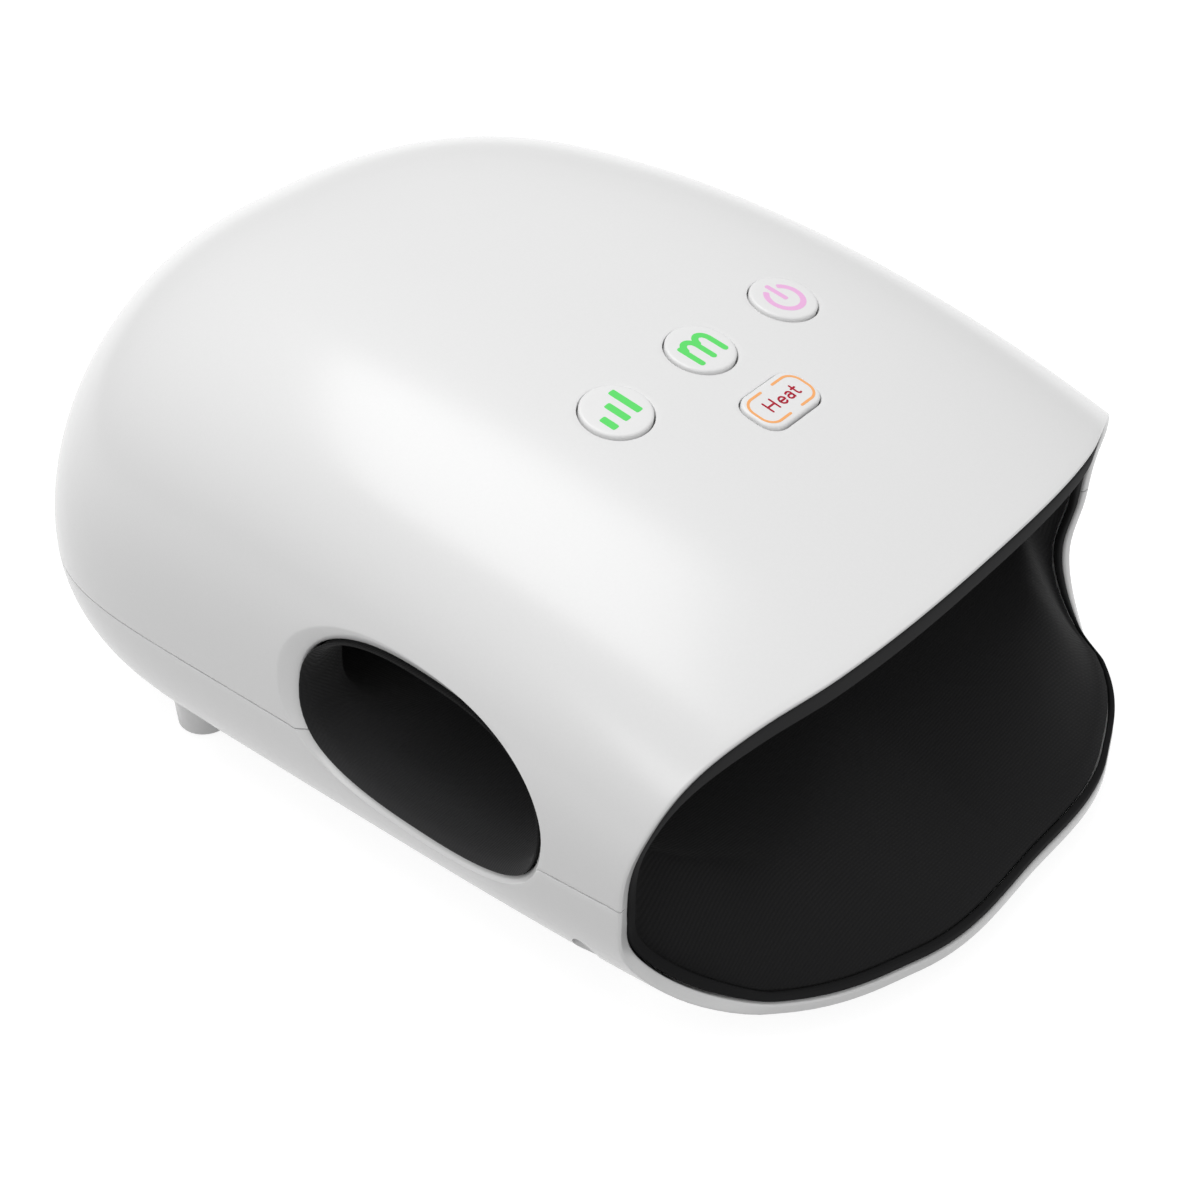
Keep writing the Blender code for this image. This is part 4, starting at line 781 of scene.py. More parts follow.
# a rounded rectangle, corner by corner, is carried along the casing's front edge
quarter = np.append(np.repeat(np.arange(4), 5), 0)
turn = (quarter + np.append(np.tile(np.linspace(0, 1, 5), 4), 0))*math.pi/2
reach, half = TRIM_DEPTH/2, trim_thickness(ring_s)/2
forward = np.array([1, -1, -1, 1])[quarter]*(reach - TRIM_ROUND) + TRIM_ROUND*np.cos(turn)
trim_y = TRIM_START + reach + forward
grid = []
for dy, angle, up in zip(trim_y, turn, np.array([1, 1, -1, -1])[quarter]):
    deep = half + up*(half - TRIM_ROUND) + TRIM_ROUND*math.sin(angle)
    grid.append(upright(ring_s, front_edge(ring_s) + dy, lip_thickness(ring_s) + TRIM_GAP + deep))
grid = np.stack(grid, 1)
grid[[0, -1], :, 0] = 0
TRIM_GREY, tree, shader = shaded("trim_dark_grey", (0.022, 0.022, 0.023), 0.85, Specular_IOR_Level=0.15)
# the trim is painted paler high up under the visor and darker low round the tongue: painted light and shade by
# height on a ring of one grey
above = ranged(tree, axes_of(tree)["Z"], 0, 1, 0.034, 0.046)
feed(shader, "Base Color", mixed(tree, above, (0.012, 0.012, 0.0125), (0.036, 0.036, 0.037)))
bumped(tree, shader, noise(tree, 1500), 0.00002, 0.6)
piece("mouth_band", sewn([grid], mirror=True), TRIM_GREY, "massager", "mouth_trim", slot="trim_grey")

# The pocket lining. A black knitted jersey pocket with a fine crosswise rib. It is stretched over the air
# bags, held by the trim at the mouth, and drawn out in a smooth funnel to each thumb hole, through whose
# collar it runs out to a thin lip.

LINING = 0.0012
TUNNEL_HALF_WIDTH, TUNNEL_FLOOR, TUNNEL_CEILING = 0.0655, 0.0245, 0.0630
TUNNEL_STRAIGHT_Y, TUNNEL_END_Y, TUNNEL_POWER, END_POWER, END_CROWDING = 0.040, 0.0640, 3, 2.5, 0.8
TUNNEL_MIDDLE, TUNNEL_HALF_HEIGHT = (TUNNEL_CEILING + TUNNEL_FLOOR)/2, (TUNNEL_CEILING - TUNNEL_FLOOR)/2
WAIST_S, FLARE_LEAST, FLARE_ABOVE, FLARE_BELOW, FLARE_POWER = 1.25, 0.006, 0.033, 0.038, 1.5


def flare_length(s):
    """How soon the tunnel draws in from the mouth: at once beside the waist, slowly above and below."""
    above, below = np.clip((WAIST_S - s)/WAIST_S, 0, 1), np.clip((s - WAIST_S)/(3 - WAIST_S), 0, 1)
    return FLARE_LEAST + FLARE_ABOVE*above**FLARE_POWER + FLARE_BELOW*below**FLARE_POWER


def tunnel_section(s, share=1.0):
    """The tunnel's cross-section away from the mouth: a superellipse, as x and z."""
    angle = np.where(s < 1, math.pi/2*(1 - s), -math.pi/4*(s - 1))
    x, up = (np.sign(part)*np.abs(part)**(2/TUNNEL_POWER) for part in (np.cos(angle), np.sin(angle)))
    return TUNNEL_HALF_WIDTH*share*x, TUNNEL_MIDDLE + TUNNEL_HALF_HEIGHT*share*up


def hem(s):
    """Where the lining's inner face starts, just behind the trim."""
    start = front_edge(s) + TRIM_START + TRIM_DEPTH + GAP
    return upright(s, start, lip_thickness(s) + TRIM_GAP + trim_thickness(s))


def tunnel(s, y):
    """The lining's inner face: from the hem it eases over to the tunnel's section, which shuts at the end."""
    s, y = floats(s, y)
    start = hem(s)
    t = np.clip((y - TUNNEL_STRAIGHT_Y)/(TUNNEL_END_Y - TUNNEL_STRAIGHT_Y), 0, 1)
    x, z = tunnel_section(s, (1 - t**END_POWER)**(1/END_POWER))
    drawn = ease((y - start[..., 1])/flare_length(s))
    x = start[..., 0] + (x - start[..., 0])*drawn
    z = start[..., 2] + (z - start[..., 2])*drawn
    return np.stack([np.where((s <= 0) | (s >= 3), 0, x), y, z], -1)


def tunnel_station(y, z):
    """The s of a height on the tunnel's straight section, with y passed on."""
    part = np.clip(np.abs(z - TUNNEL_MIDDLE)/TUNNEL_HALF_HEIGHT, 0, 1)
    angle = np.arcsin(part**(TUNNEL_POWER/2))
    return np.where(z > TUNNEL_MIDDLE, 1 - angle*2/math.pi, 1 + angle*4/math.pi), y


FUNNEL_STOPS, FUNNEL_FROM, FUNNEL_TO = (0.27, 2.40), -0.0625, 0.0090
FUNNEL_REACH, FUNNEL_SIZE, FUNNEL_POWER, FUNNEL_PULL = 0.036, (0.0325, 0.0176), 0.8, 0.42
CLOTH_STEP, CLOTH_ROWS, CLOTH_COLUMNS, CLOTH_RINGS = 0.0020, 18, 40, 8
stops = [0.0, FUNNEL_STOPS[0], 1.0, FUNNEL_STOPS[1], 3.0]
s_line, s_at = spaced(stops, CLOTH_STEP, lambda s: tunnel(s, np.zeros_like(s)))
a, b = s_at[1], s_at[3]
y_line = np.linspace(FUNNEL_FROM, FUNNEL_TO, CLOTH_COLUMNS)
# rows from the hem to the funnels, and on to the tunnel's end, closer together where it shuts
hem_y = hem(s_line)[:, 1][:, None]
front = hem_y + (FUNNEL_FROM - hem_y)*np.linspace(0, 1, CLOTH_ROWS)
shut = np.sin(np.linspace(0, math.pi/2, CLOTH_ROWS))[1:]**END_CROWDING
end = TUNNEL_STRAIGHT_Y + (TUNNEL_END_Y - TUNNEL_STRAIGHT_Y)*shut
rear = np.concatenate([np.linspace(FUNNEL_TO, TUNNEL_STRAIGHT_Y, CLOTH_ROWS), end])
places = (s_line, front), (s_line, rear), (s_line[:a + 1], y_line), (s_line[b:], y_line)
grids = [tunnel(s[:, None], y) for s, y in places]
border = border_of(s_line[a:b + 1], y_line, full=True)
flat = border[1], tunnel_section(border[0])[1]
angle = np.arctan2((flat[1] - TUNNEL_MIDDLE)/TUNNEL_HALF_HEIGHT, (flat[0] - HOLE_INNER["y"])/FUNNEL_REACH)
along, up = (np.sign(part)*np.abs(part)**FUNNEL_POWER for part in (np.cos(angle), np.sin(angle)))
outline = HOLE_INNER["y"] + FUNNEL_SIZE[0]*along, TUNNEL_MIDDLE + FUNNEL_SIZE[1]*up
around = tunnel(*window(border, flat, tunnel_station, outline, CLOTH_RINGS))
grids.append(around)


def sleeve_ring(depth, grow):
    """A ring of the thumb sleeve: the thumb hole's inner outline, let out or drawn in, at a depth in it."""
    long, high = (HOLE_INNER["half_length"] + grow)*along, (HOLE_INNER["half_height"] + grow)*up
    tilt = math.radians(HOLE_INNER["tilt"])
    y = HOLE_INNER["y"] + long*math.cos(tilt) - high*math.sin(tilt)
    z = HOLE_INNER["z"] + long*math.sin(tilt) + high*math.cos(tilt)
    return flank(y, z, depth)


# the sleeve's lip, ring by ring: how deep in the hole, and how far inside the hole's outline
LIP_DEPTH, LIP_GROWTH, LIP_SHARE = 0.0009, 0.0026, 0.25
lips = [(LIP_DEPTH, -0.0004), (0.0012, -0.0006), (0.0018, -0.0009), (0.0026, -0.0013), (0.0036, -LINING - GAP)]
lips = [sleeve_ring(depth, grow) for depth, grow in lips]
collar = sleeve_ring(COLLAR_DEPTH, -LINING - GAP)
outlet = around[0]
# each line of the funnel is a cubic Bezier curve that leaves the collar along X and meets the tunnel along its skin
reach = np.linalg.norm(outlet - collar, axis=1, keepdims=True)*FUNNEL_PULL
towards = outlet - around[1]
towards /= np.linalg.norm(towards, axis=1, keepdims=True)
first, second = collar - np.array([1, 0, 0])*reach, outlet + towards*reach
t = np.linspace(0, 1, CLOTH_ROWS)[:, None, None]
funnel = collar*(1 - t)**3 + first*3*t*(1 - t)**2 + second*3*t*t*(1 - t) + outlet*t**3
grids.append(np.concatenate([lips, funnel]))

RIB_PITCH, LOOP_PITCH = 0.00055, 0.0009
JERSEY, tree, shader = shaded(
    "black_jersey", (0.008, 0.008, 0.0085), 0.9, Sheen_Weight=0.06, Sheen_Roughness=0.6, Specular_IOR_Level=0.25
)


def worked(tree, operation, *values):
    """The result of a Math node."""
    return node(tree, "Math", dict(enumerate(values)), operation=operation).outputs[0]


def wave(tree, value, pitch):
    """A sine of a length, from 0 to 1, that repeats at a pitch."""
    sine = worked(tree, "SINE", worked(tree, "MULTIPLY", value, 2*math.pi/pitch))
    return ranged(tree, sine, 0, 1, -1, 1)


axes = axes_of(tree)
rib = wave(tree, axes["Y"], RIB_PITCH)
loops = worked(tree, "MULTIPLY", rib, wave(tree, worked(tree, "ADD", axes["X"], axes["Z"]), LOOP_PITCH))
tone = worked(tree, "MULTIPLY", rib, noise(tree, 60, 3))
knit = mixed(tree, tone, (0.0074, 0.0074, 0.0078), (0.0116, 0.0116, 0.0121))
# the knit is painted paler over the lower edge of each thumb hole: a painted light, standing in for the light that
# falls on the upward-facing cloth there
beside = ranged(tree, worked(tree, "ABSOLUTE", axes["X"]), 0, 1, 0.052, 0.070)
below = ranged(tree, axes["Z"], 0, 1, 0.046, 0.030)
from_hole = worked(tree, "ABSOLUTE", worked(tree, "ADD", axes["Y"], -HOLE_INNER["y"]))
near_hole = ranged(tree, from_hole, 0, 1, 0.034, 0.024)
painted_light_by_hole = worked(tree, "MULTIPLY", worked(tree, "MULTIPLY", beside, below), near_hole)
feed(shader, "Base Color", mixed(tree, painted_light_by_hole, knit, (0.034, 0.034, 0.035)))
bumped(tree, shader, worked(tree, "ADD", rib, loops), 0.00010, 0.35)
pocket = piece(
    "pocket_lining", sewn(grids, mirror=True), JERSEY, "massager",
    "lining_upper", "lining_lower", "thumb_sleeve_right", "thumb_sleeve_left", slot="knit_fabric",
)
# the cloth thins out towards its glued lip in the thumb hole
points = np.empty(3*len(pocket.data.vertices))
pocket.data.vertices.foreach_get("co", points)
x, y, z = points.reshape(-1, 3).T
depth = skin(station_beside(y, z), y)[:, 0] - np.abs(x)
share = np.round(4*ease((depth - LIP_DEPTH)/LIP_GROWTH))/4
thinned = pocket.vertex_groups.new(name="thinned")
for level in np.unique(share):
    thinned.add(np.nonzero(share == level)[0].tolist(), LIP_SHARE + (1 - LIP_SHARE)*level, "REPLACE")
cloth = pocket.modifiers.new("cloth", "SOLIDIFY")
cloth.thickness, cloth.offset, cloth.vertex_group = LINING, 1, "thinned"

# The four buttons. White ABS caps with a rounded shoulder, a flange that stops them under the casing, and a
# stem on their switch. Their marks are printed on top in coloured ink: generic symbols for power, mode, level
# and heat.

RISE, FLANGE, CAP_BOTTOM, STEM, STEM_END = 0.0006, 0.0009, -0.0040, 0.0020, -0.0046
SHOULDER, SHOULDER_DROP, FACE_INSET = 0.0006, 0.00045, -0.0008
INK_TOP, INK_LOW = RISE + 0.000025, RISE - 0.00010
CAP_WHITE = moulded("button_white", (0.82, 0.82, 0.82), 0.34, Coat_Weight=0.15, Coat_Roughness=0.2)
bends = np.linspace(0, math.pi/2, 6)
shoulder = [(SHOULDER*(math.sin(a) - 1), RISE - SHOULDER_DROP*(1 - math.cos(a))) for a in bends]
# a cap from its middle outwards and down: the share of its outline, how far that is let out, and the height
cap_rows = [
    (0, 0, RISE), (0.4, FACE_INSET, RISE), (0.8, FACE_INSET, RISE), *((1, *row) for row in shoulder),
    (1, 0, CAP_BOTTOM + FLANGE), (1, FLANGE, CAP_BOTTOM + FLANGE), (1, FLANGE, CAP_BOTTOM),
]


def cap_mesh(name):
    """A cap: its outline, drawn in or let out, carried down rows of heights, and closed by its stem."""
    angle = np.linspace(0, 2*math.pi, 97)
    rows = [(cap_outline(name, angle, grow)*share, height) for share, grow, height in cap_rows]
    stem = ways(angle)*STEM
    rows += [(stem, CAP_BOTTOM), (stem, STEM_END), (stem*0, STEM_END)]
    return sewn([moved(levels(rows), button_frame(*BUTTONS[name]))])


def ribbon(path, width, squareness=2.0):
    """A flat printed stroke along a path in mm: its half-width each side of the line, and rounded ends."""
    path = np.array(path, float)*0.001
    way = np.gradient(path, axis=0)
    way /= np.linalg.norm(way, axis=1, keepdims=True)
    tip = np.sin(np.linspace(0, math.pi/2, 7))
    half = width*0.0005
    lead, tail = path[0] - way[0]*half*tip[::-1, None], path[-1] + way[-1]*half*tip[:, None]
    spine = np.concatenate([lead, path[1:-1], tail])
    way = np.concatenate([np.repeat(way[:1], 7, 0), way[1:-1], np.repeat(way[-1:], 7, 0)])
    narrow = (1 - tip**squareness)**(1/squareness)*half
    half = np.concatenate([narrow[::-1], np.full(len(path) - 2, half), narrow])[:, None]
    side = np.stack([-way[:, 1], way[:, 0]], -1)*half
    left, right = spine + side, spine - side
    return levels([(left, INK_TOP), (right, INK_TOP), (right, INK_LOW), (left, INK_LOW), (left, INK_TOP)], 1)


def arc(middle, radii, start, end, count=40):
    """Points on part of an ellipse, by two angles in degrees."""
    return np.array(middle) + ways(np.radians(np.linspace(start, end, count)))*np.array(radii)


def line(start, end):
    """Points on a straight line."""
    return np.linspace(start, end, 6)


def joined(*runs):
    """Runs of points one after another, as one path."""
    return np.concatenate([runs[0], *(run[1:] for run in runs[1:])])


# the strokes are drawn in millimetres from the middle of each cap
STEM_WIDTH, WORD_WIDTH, FRAME_WIDTH = 1.35, 0.42, 0.54
marks = {
    "power": [
        ribbon(arc((0.1, -0.15), (3.58, 3.58), 127, 413, 90), 1.2, 4),
        ribbon(line((0.1, -0.2), (0.1, 3.9)), 1.15, 2.5),
    ],
    "mode": [ribbon(line((-3.45, -2.85), (-3.45, 1.95)), STEM_WIDTH, 2.5)] + [
        ribbon(joined(arc((x, 0.75), (1.5, 1.9), 165, 0), line((x + 1.5, 0.75), (x + 1.5, -2.85))), STEM_WIDTH)
        for x in (-1.49, 1.97)
    ],
    "level": [ribbon(line((x, -2.3), (x, top)), 1.6, 5) for x, top in ((-3.6, -0.4), (-0.3, 1.3), (2.9, 3.05))],
    "heat": [
        ribbon(joined(
            line((1.75*side, 3.43), (4.6*side, 3.43)), arc((4.6*side, 0.83), (2.6*side, 2.6), 90, 0),
            line((7.2*side, 0.83), (7.2*side, -0.83)), arc((4.6*side, -0.83), (2.6*side, 2.6), 0, -90),
            line((4.6*side, -3.43), (1.75*side, -3.43)),
        ), FRAME_WIDTH) for side in (1, -1)
    ],
    "heat_word": [ribbon(path, WORD_WIDTH) for path in (
        line((-3.95, -1.2), (-3.95, 1.35)), line((-1.95, -1.2), (-1.95, 1.35)), line((-3.95, 0.1), (-1.95, 0.1)),
        joined(line((-0.75, -0.38), (0.75, -0.38)), arc((0, -0.38), (0.75, 0.85), 0, 320, 30)),
        joined(arc((2.15, -0.05), (0.62, 0.55), 140, 0, 14), line((2.77, -0.05), (2.77, -1.2))),
        arc((2.15, -0.72), (0.62, 0.5), 5, 355, 30),
        joined(line((3.95, 1.2), (3.95, -0.7)), arc((4.4, -0.7), (0.45, 0.5), 180, 290, 10)),
        line((3.5, 0.42), (4.55, 0.42)),
    )],
}
GREEN_INK = (0.125, 0.745, 0.159)
INKS = {
    "power": (0.855, 0.468, 0.761), "mode": GREEN_INK, "level": GREEN_INK, "heat": (0.939, 0.434, 0.162),
    "heat_word": (0.434, 0.006, 0.030),
}
for name in BUTTONS:
    piece(name + "_cap", cap_mesh(name), CAP_WHITE, name + "_key", name + "_button", slot="button_white")
for name, strokes in marks.items():
    key = name.split("_")[0]
    ink = moulded("ink_" + name, INKS[name], 0.45, grain=0.000002, scale=3000, Specular_IOR_Level=0.2)
    first, *others = (sewn([moved(grid, button_frame(*BUTTONS[key]))]) for grid in strokes)
    mark = piece(name + "_mark", first, ink, key + "_key")
    carved(mark, *((mesh, "UNION") for mesh in others))

# The foot pads. Four pads of soft grey rubber, moulded with two shallow ring grooves underneath, are pressed
# into the recesses of the foot stubs.

RUBBER = moulded("grey_rubber", (0.30, 0.30, 0.30), 0.75, grain=0.00003, scale=900)
GROOVE = 0.00018
pad_profile = [
    (0, 0), (0.00120, 0), (0.00130, GROOVE), (0.00170, GROOVE), (0.00180, 0), (0.00270, 0), (0.00280, GROOVE),
    (0.00320, GROOVE), (0.00330, 0), (0.00385, 0), (0.00407, 0.00006), (PAD_RADIUS, 0.00025), (PAD_RADIUS, 0.0021),
    (0.00405, PAD_HEIGHT), (0, PAD_HEIGHT),
]
for name, x, y in foot_places:
    pad = sewn([spun(pad_profile, (x, y, 0), 48)])
    piece("rubber_pad_" + name, pad, RUBBER, "massager", "foot_pad_" + name, slot="grey_rubber", sharp=30)

# The casing screws. Four self-tapping screws of zinc-plated steel, with a round head and a cross recess, go up
# the wells of the lower shell and bite into the posts of the upper one.

HEAD_RADIUS, HEAD_DEPTH, SHANK_RADIUS, SHANK_BITE = 0.0024, 0.0020, 0.0013, 0.0105
THREAD_DEPTH, THREAD_PITCH, THREAD_STEEPNESS, THREAD_START, THREAD_END = 0.00030, 0.0011, 2.4, 0.0015, 0.0010
RECESS_MARGIN, RECESS_DEPTH, RECESS_ARMS = 0.0005, 0.0011, ((0.00125, 0.00025), (0.00025, 0.00125))
head = [
    (0, -HEAD_DEPTH - 0.0001), (0.0010, -HEAD_DEPTH), (0.0017, -0.00175), (0.0022, -0.00125),
    (HEAD_RADIUS, -0.0007), (HEAD_RADIUS, 0), (SHANK_RADIUS, 0),
]
ZINC, tree, shader = shaded("zinc_plated_steel", (0.55, 0.55, 0.56), 0.3, Metallic=1.0)
feed(shader, "Roughness", ranged(tree, noise(tree, 900, 3), 0.24, 0.42))
bumped(tree, shader, noise(tree, 2500), 0.00001, 0.5)


def thread_grid(shank):
    """A shank whose radius falls away between the turns of a helix: a ramp on each side of the ridge, by the
    distance along the axis from the nearest turn. The thread fades out at both ends."""
    height, angle = np.linspace(0, shank, 90)[:, None], np.linspace(0, 2*math.pi, 33)[None, :]
    phase = height/THREAD_PITCH - angle/(2*math.pi)
    ridge = np.clip(1 - THREAD_STEEPNESS*np.abs(phase - np.round(phase)), 0, 1)
    faded = ease(height/THREAD_START)*ease((shank - height)/THREAD_END)
    return round_z(SHANK_RADIUS - THREAD_DEPTH*(1 - ridge)*faded, height, angle)


for name, x, y, place in screw_places:
    top, shank = place["seat"] - GAP, BOSS_TOP - place["seat"] + SHANK_BITE
    tip = spun([(SHANK_RADIUS, shank), (0.0007, shank + 0.0008), (0, shank + 0.0012)], steps=32)
    grids = [grid + np.array([x, y, top]) for grid in (thread_grid(shank), tip, spun(head, steps=32))]
    screw = piece(
        "screw_" + name, sewn(grids), ZINC, "massager", "case_screw_" + name, slot="steel", sharp=30
    )
    low, high = top - HEAD_DEPTH - RECESS_MARGIN, top - HEAD_DEPTH + RECESS_DEPTH
    arms = [cuboid((x - a, y - b, low), (x + a, y + b, high)) for a, b in RECESS_ARMS]
    carved(screw, *((sewn([arm]), "DIFFERENCE") for arm in arms), sharp=30)

# The air bags. Two pairs of pillows welded from clear-grey TPU film press on the hand from above and below,
# palm and fingers in turn. Each is an envelope with a flat welded rim and crosswise welds, and lies slack.

BAG, FILM = 0.0040, 0.0006
AIR_BAG_FILM, tree, shader = shaded("air_bag_film", (0.30, 0.31, 0.33), 0.4)
crinkle = noise(tree, 260, 4, 0.6)
feed(shader, "Base Color", mixed(tree, crinkle, (0.26, 0.27, 0.29), (0.36, 0.37, 0.39)))
feed(shader, "Roughness", ranged(tree, crinkle, 0.3, 0.5))
bumped(tree, shader, crinkle, 0.0003, 0.6)
BAG_SIDES = {"upper": ((0.0, 0.42), LINING + 2*GAP), "lower": ((2.15, 3.0), LINING + FILM + 3*GAP)}
BAG_RUNS = {"palm": ((-0.050, -0.003), 3), "fingers": ((0.003, 0.038), 2)}
WELD_RIM, WELD_WIDTH, WELD_END, WELD_DEPTH, BAG_EDGE = (0.94, 0.92), 0.10, 0.8, 0.8, 0.10


def pillow(s_range, y_range, close, welds):
    """Half an air bag as two skins. Its thickness rises from the welded rim as one minus a high power of
    the place across and along, and dips at evenly spaced crosswise welds."""
    (s0, s1), (y0, y1) = s_range, y_range
    crowded = np.sin(np.linspace(0, math.pi/2, 26))[::-1]
    above = s0 == 0
    middle, outer = (s0, s1) if above else (s1, s0)
    middle_row, outer_row = (0, -1) if above else (-1, 0)
    s = (outer + (middle - outer)*(crowded if above else 1 - crowded))[:, None]
    y = (y0 + y1)/2 + (y1 - y0)/2*np.sin(np.linspace(-math.pi/2, math.pi/2, 61))[None, :]
    across = np.abs((s - middle)/(outer - middle))/WELD_RIM[0]
    along = np.abs((y - (y0 + y1)/2)/((y1 - y0)/2))/WELD_RIM[1]
    full = (1 - np.clip(across, 0, 1)**6)**0.5*(1 - np.clip(along, 0, 1)**4)**0.5
    place = (y - y0)/(y1 - y0)*welds
    near_weld = np.exp(-((place - np.round(place))/WELD_WIDTH)**2)*((place > 0.5) & (place < welds - 0.5))
    dip = WELD_DEPTH*near_weld*ease((WELD_END - across)/0.1)
    half = BAG/2*(BAG_EDGE + (1 - BAG_EDGE)*full*(1 - dip))
    skins = [inset(s, y, -(close + BAG/2 + side*half), tunnel) for side in (1, -1)]
    for grid in skins:
        grid[middle_row, :, 0] = 0
    edges = [np.stack([grid[:, k] for grid in skins]) for k in (0, -1)]
    edges.append(np.stack([grid[outer_row] for grid in skins]))
    return skins + edges


for side, (s_range, close) in BAG_SIDES.items():
    for run, (y_range, welds) in BAG_RUNS.items():
        name = f"{side}_{run}"
        mesh = sewn(pillow(s_range, y_range, close, welds), mirror=True)
        bag = piece("bladder_" + name, mesh, AIR_BAG_FILM, "massager", "airbag_" + name, slot="air_bag", sharp=60)

# The trays, the bulkhead and the cradles. Black ABS mouldings, hidden between the shells, that keep their solid
# shape: the trays back the air bags, the bulkhead stands behind the pocket, and the cradles hold the pump and
# the cells.


def finished(material, *names):
    """Gives solids of the frame a material."""
    for name in names:
        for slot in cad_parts[name].material_slots:
            slot.material = material


finished(
    moulded("black_abs", (0.03, 0.03, 0.03), 0.5, grain=0.00003, scale=1400),
    "upper_tray", "lower_tray", "rear_bulkhead", "pump_cradle", "battery_cradle",
)

# The heating film. A thin film with copper-coloured heating tracks across it, laid under the hand between the
# lining and the lower air bags.


def striped(name, first, second, axis, pitch, roughness, sharp=6.0, **sockets):
    """Stripes across an Object axis: a sine, steepened to bands, mixes two colours and lifts a bump."""
    made, tree, shader = shaded(name, first, roughness, **sockets)
    band = ranged(tree, wave(tree, axes_of(tree)[axis], pitch), 0, 1, 0.5 - 0.5/sharp, 0.5 + 0.5/sharp)
    feed(shader, "Base Color", mixed(tree, band, first, second))
    gloss = ranged(tree, noise(tree, 300), roughness - 0.05, roughness + 0.05)
    feed(shader, "Roughness", gloss)
    bumped(tree, shader, band, 0.00005, 0.5)
    return made


finished(striped("heating_film", (0.50, 0.22, 0.07), (0.62, 0.36, 0.20), "Y", 0.0052, 0.38), "heating_film")

# The boards and the switches. Two green glass-fibre boards with etched copper: one under the buttons, with four
# black push switches soldered to it, and one at the back for the charging socket.


def board_finish(name):
    """Green solder mask over copper tracks, which show as a paler, slightly raised maze."""
    made, tree, shader = shaded(name, (0.015, 0.14, 0.06), 0.35, Coat_Weight=0.3)
    place = node(tree, "TexCoord").outputs["Object"]
    cells = node(tree, "TexVoronoi", {"Vector": place, "Scale": 420.0}, distance="MANHATTAN",
                 feature="DISTANCE_TO_EDGE").outputs["Distance"]
    track = ranged(tree, cells, 0, 1, 0.03, 0.09)
    feed(shader, "Base Color", mixed(tree, track, (0.05, 0.30, 0.12), (0.012, 0.13, 0.05)))
    bumped(tree, shader, track, 0.00004, 0.4)
    return made


finished(board_finish("board_green"), "control_board", "power_board")
finished(
    moulded("switch_black", (0.02, 0.02, 0.02), 0.4, grain=0.00001, scale=2000),
    *(name + "_switch" for name in BUTTONS),
)

# The pump's casing, the manifold and the plungers. Pale grey mouldings: the pump's head and housing, the manifold
# that shares out its air, and four plungers that pass each button's press on to its switch.

finished(
    moulded("pump_plastic", (0.60, 0.60, 0.58), 0.5, grain=0.00002, scale=1500),
    "pump_head", "pump_housing", "air_manifold", *(name + "_plunger" for name in BUTTONS),
)

# The battery. Two rechargeable cells, each in a blue sleeve of shrunk film, lie one above the other in their
# cradle behind the bulkhead.

finished(
    striped("cell_sleeve", (0.05, 0.16, 0.42), (0.045, 0.15, 0.40), "X", 0.0031, 0.33, 1.5, Coat_Weight=0.4),
    "battery_cell_upper", "battery_cell_lower",
)

# The metal parts. The pump's motor and its turning shaft, the two solenoid valves with their sliding cores, and
# the charging socket's shell, all of bright steel.

finished(
    striped("turned_steel", (0.52, 0.52, 0.53), (0.60, 0.60, 0.61), "Z", 0.0004, 0.3, 1.5, Metallic=1.0),
    "pump_motor", "pump_rotor", "valve_right", "valve_left", "valve_plunger_right", "valve_plunger_left",
    "charging_socket",
)

# The hoses and the wires. Soft silicone hoses lead from the pump to the manifold and from the valves to the
# bags, and a bundle of thin sleeved wires joins the two boards.

SILICONE = moulded(
    "silicone", (0.70, 0.70, 0.68), 0.5, grain=0.00001, scale=1200, Subsurface_Weight=0.2, Subsurface_Scale=0.003
)
finished(SILICONE, "hose_pump", "hose_bag_right", "hose_bag_left")
finished(striped("wire_sleeve", (0.30, 0.03, 0.03), (0.08, 0.02, 0.02), "X", 0.0013, 0.5, 3.0), "wire_harness")

# Room, camera and light. A pale floor and a room that the camera sees as white, one broad soft box above and
# one beside the body.

FLOOR_REACH, FLOOR_Z, PAPER_GLOW = 3, -0.0002, 0.85


def seen_by(tree, *kinds):
    """One for rays of two kinds, and nought for all others."""
    ray = node(tree, "LightPath").outputs
    return worked(tree, "MAXIMUM", *(ray[kind] for kind in kinds))


def aimed(made, place, way):
    """Puts a lamp or a camera at a place and faces it a way."""
    made.location = place
    made.rotation_mode = "QUATERNION"
    made.rotation_quaternion = way.to_track_quat("-Z", "Y")


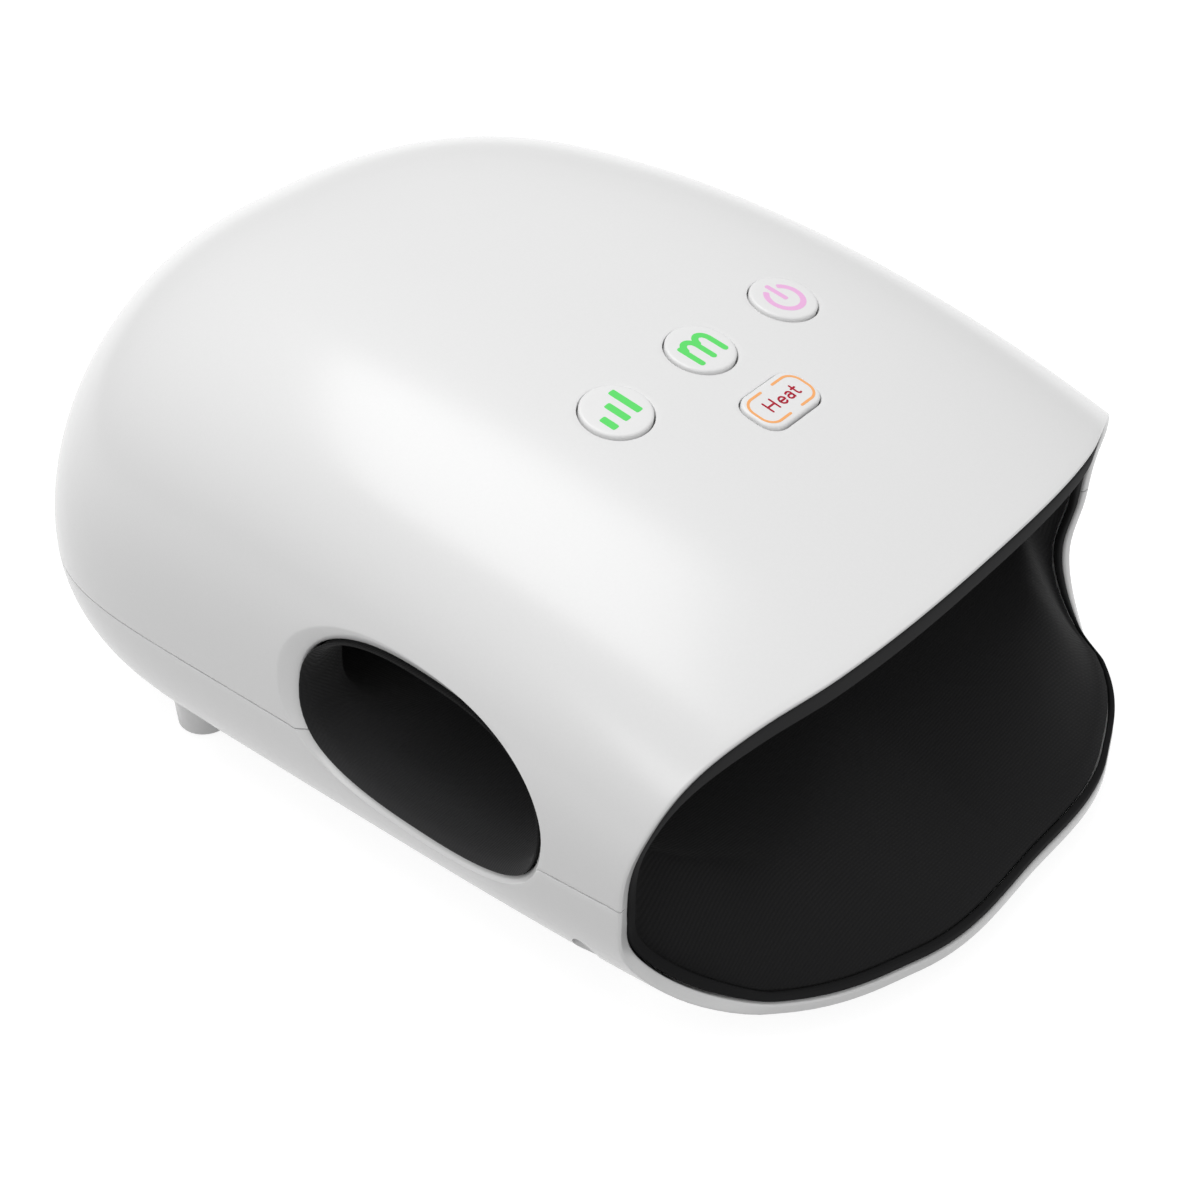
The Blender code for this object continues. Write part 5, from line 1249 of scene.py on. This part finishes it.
steps = np.linspace(-FLOOR_REACH, FLOOR_REACH, 5)
ground = np.stack(np.meshgrid(steps, steps, [FLOOR_Z], indexing="ij"), -1)[:, :, 0]
floor = placed("studio_floor", sewn([ground]))
paper, tree, shader = shaded("studio_paper", (0.32, 0.32, 0.32), 0.9)
glow = node(tree, "Emission", {"Color": (1, 1, 1, 1), "Strength": PAPER_GLOW})
both = node(tree, "AddShader", {0: shader.outputs["BSDF"], 1: glow.outputs["Emission"]})
seen = seen_by(tree, "Is Camera Ray", "Is Glossy Ray")
pick = node(tree, "MixShader", {0: seen, 1: shader.outputs["BSDF"], 2: both.outputs[0]})
feed(tree.nodes["Material Output"], "Surface", pick.outputs[0])
floor.data.materials.append(paper)

WORLD_LIGHT, WORLD_SEEN = 0.58, 1.0
world = bpy.data.worlds.new("studio")
world.use_nodes = True
bpy.context.scene.world = world
tree = world.node_tree
seen = seen_by(tree, "Is Camera Ray", "Is Transmission Ray")
background = tree.nodes["Background"]
feed(background, "Strength", ranged(tree, seen, WORLD_LIGHT, WORLD_SEEN))
background.inputs["Color"].default_value = (1, 1, 1, 1)


def soft_box(name, place, aim, size, power):
    """A rectangular lamp that faces a point."""
    lamp = bpy.data.lights.new(name, "AREA")
    lamp.shape = "RECTANGLE"
    lamp.size, lamp.size_y = size
    lamp.energy = power
    aimed(placed(name, lamp), place, Vector(aim) - Vector(place))


soft_box("box_above", (-0.06, 0.26, 1.06), (0, 0, 0.05), (0.8, 0.8), 5.2)
soft_box("box_beside", (-0.75, -0.25, 0.62), (0, 0, 0.05), (0.55, 0.30), 1.1)

CAMERA_AIM, CAMERA_REACH, AZIMUTH, ELEVATION = (0, -0.00408, 0.01968), 0.4346, -50.76, 38.11
camera = bpy.data.cameras.new("camera")
camera.sensor_width, camera.lens = 36, 62.88
camera.clip_start, camera.clip_end = 0.01, 20
viewer = placed("camera", camera)
azimuth, elevation = math.radians(AZIMUTH), math.radians(ELEVATION)
level = math.cos(elevation)
back = Vector((math.sin(azimuth)*level, -math.cos(azimuth)*level, math.sin(elevation)))
aimed(viewer, Vector(CAMERA_AIM) + back*CAMERA_REACH, -back)
bpy.context.scene.camera = viewer
bpy.context.scene.view_settings.view_transform = "Standard"
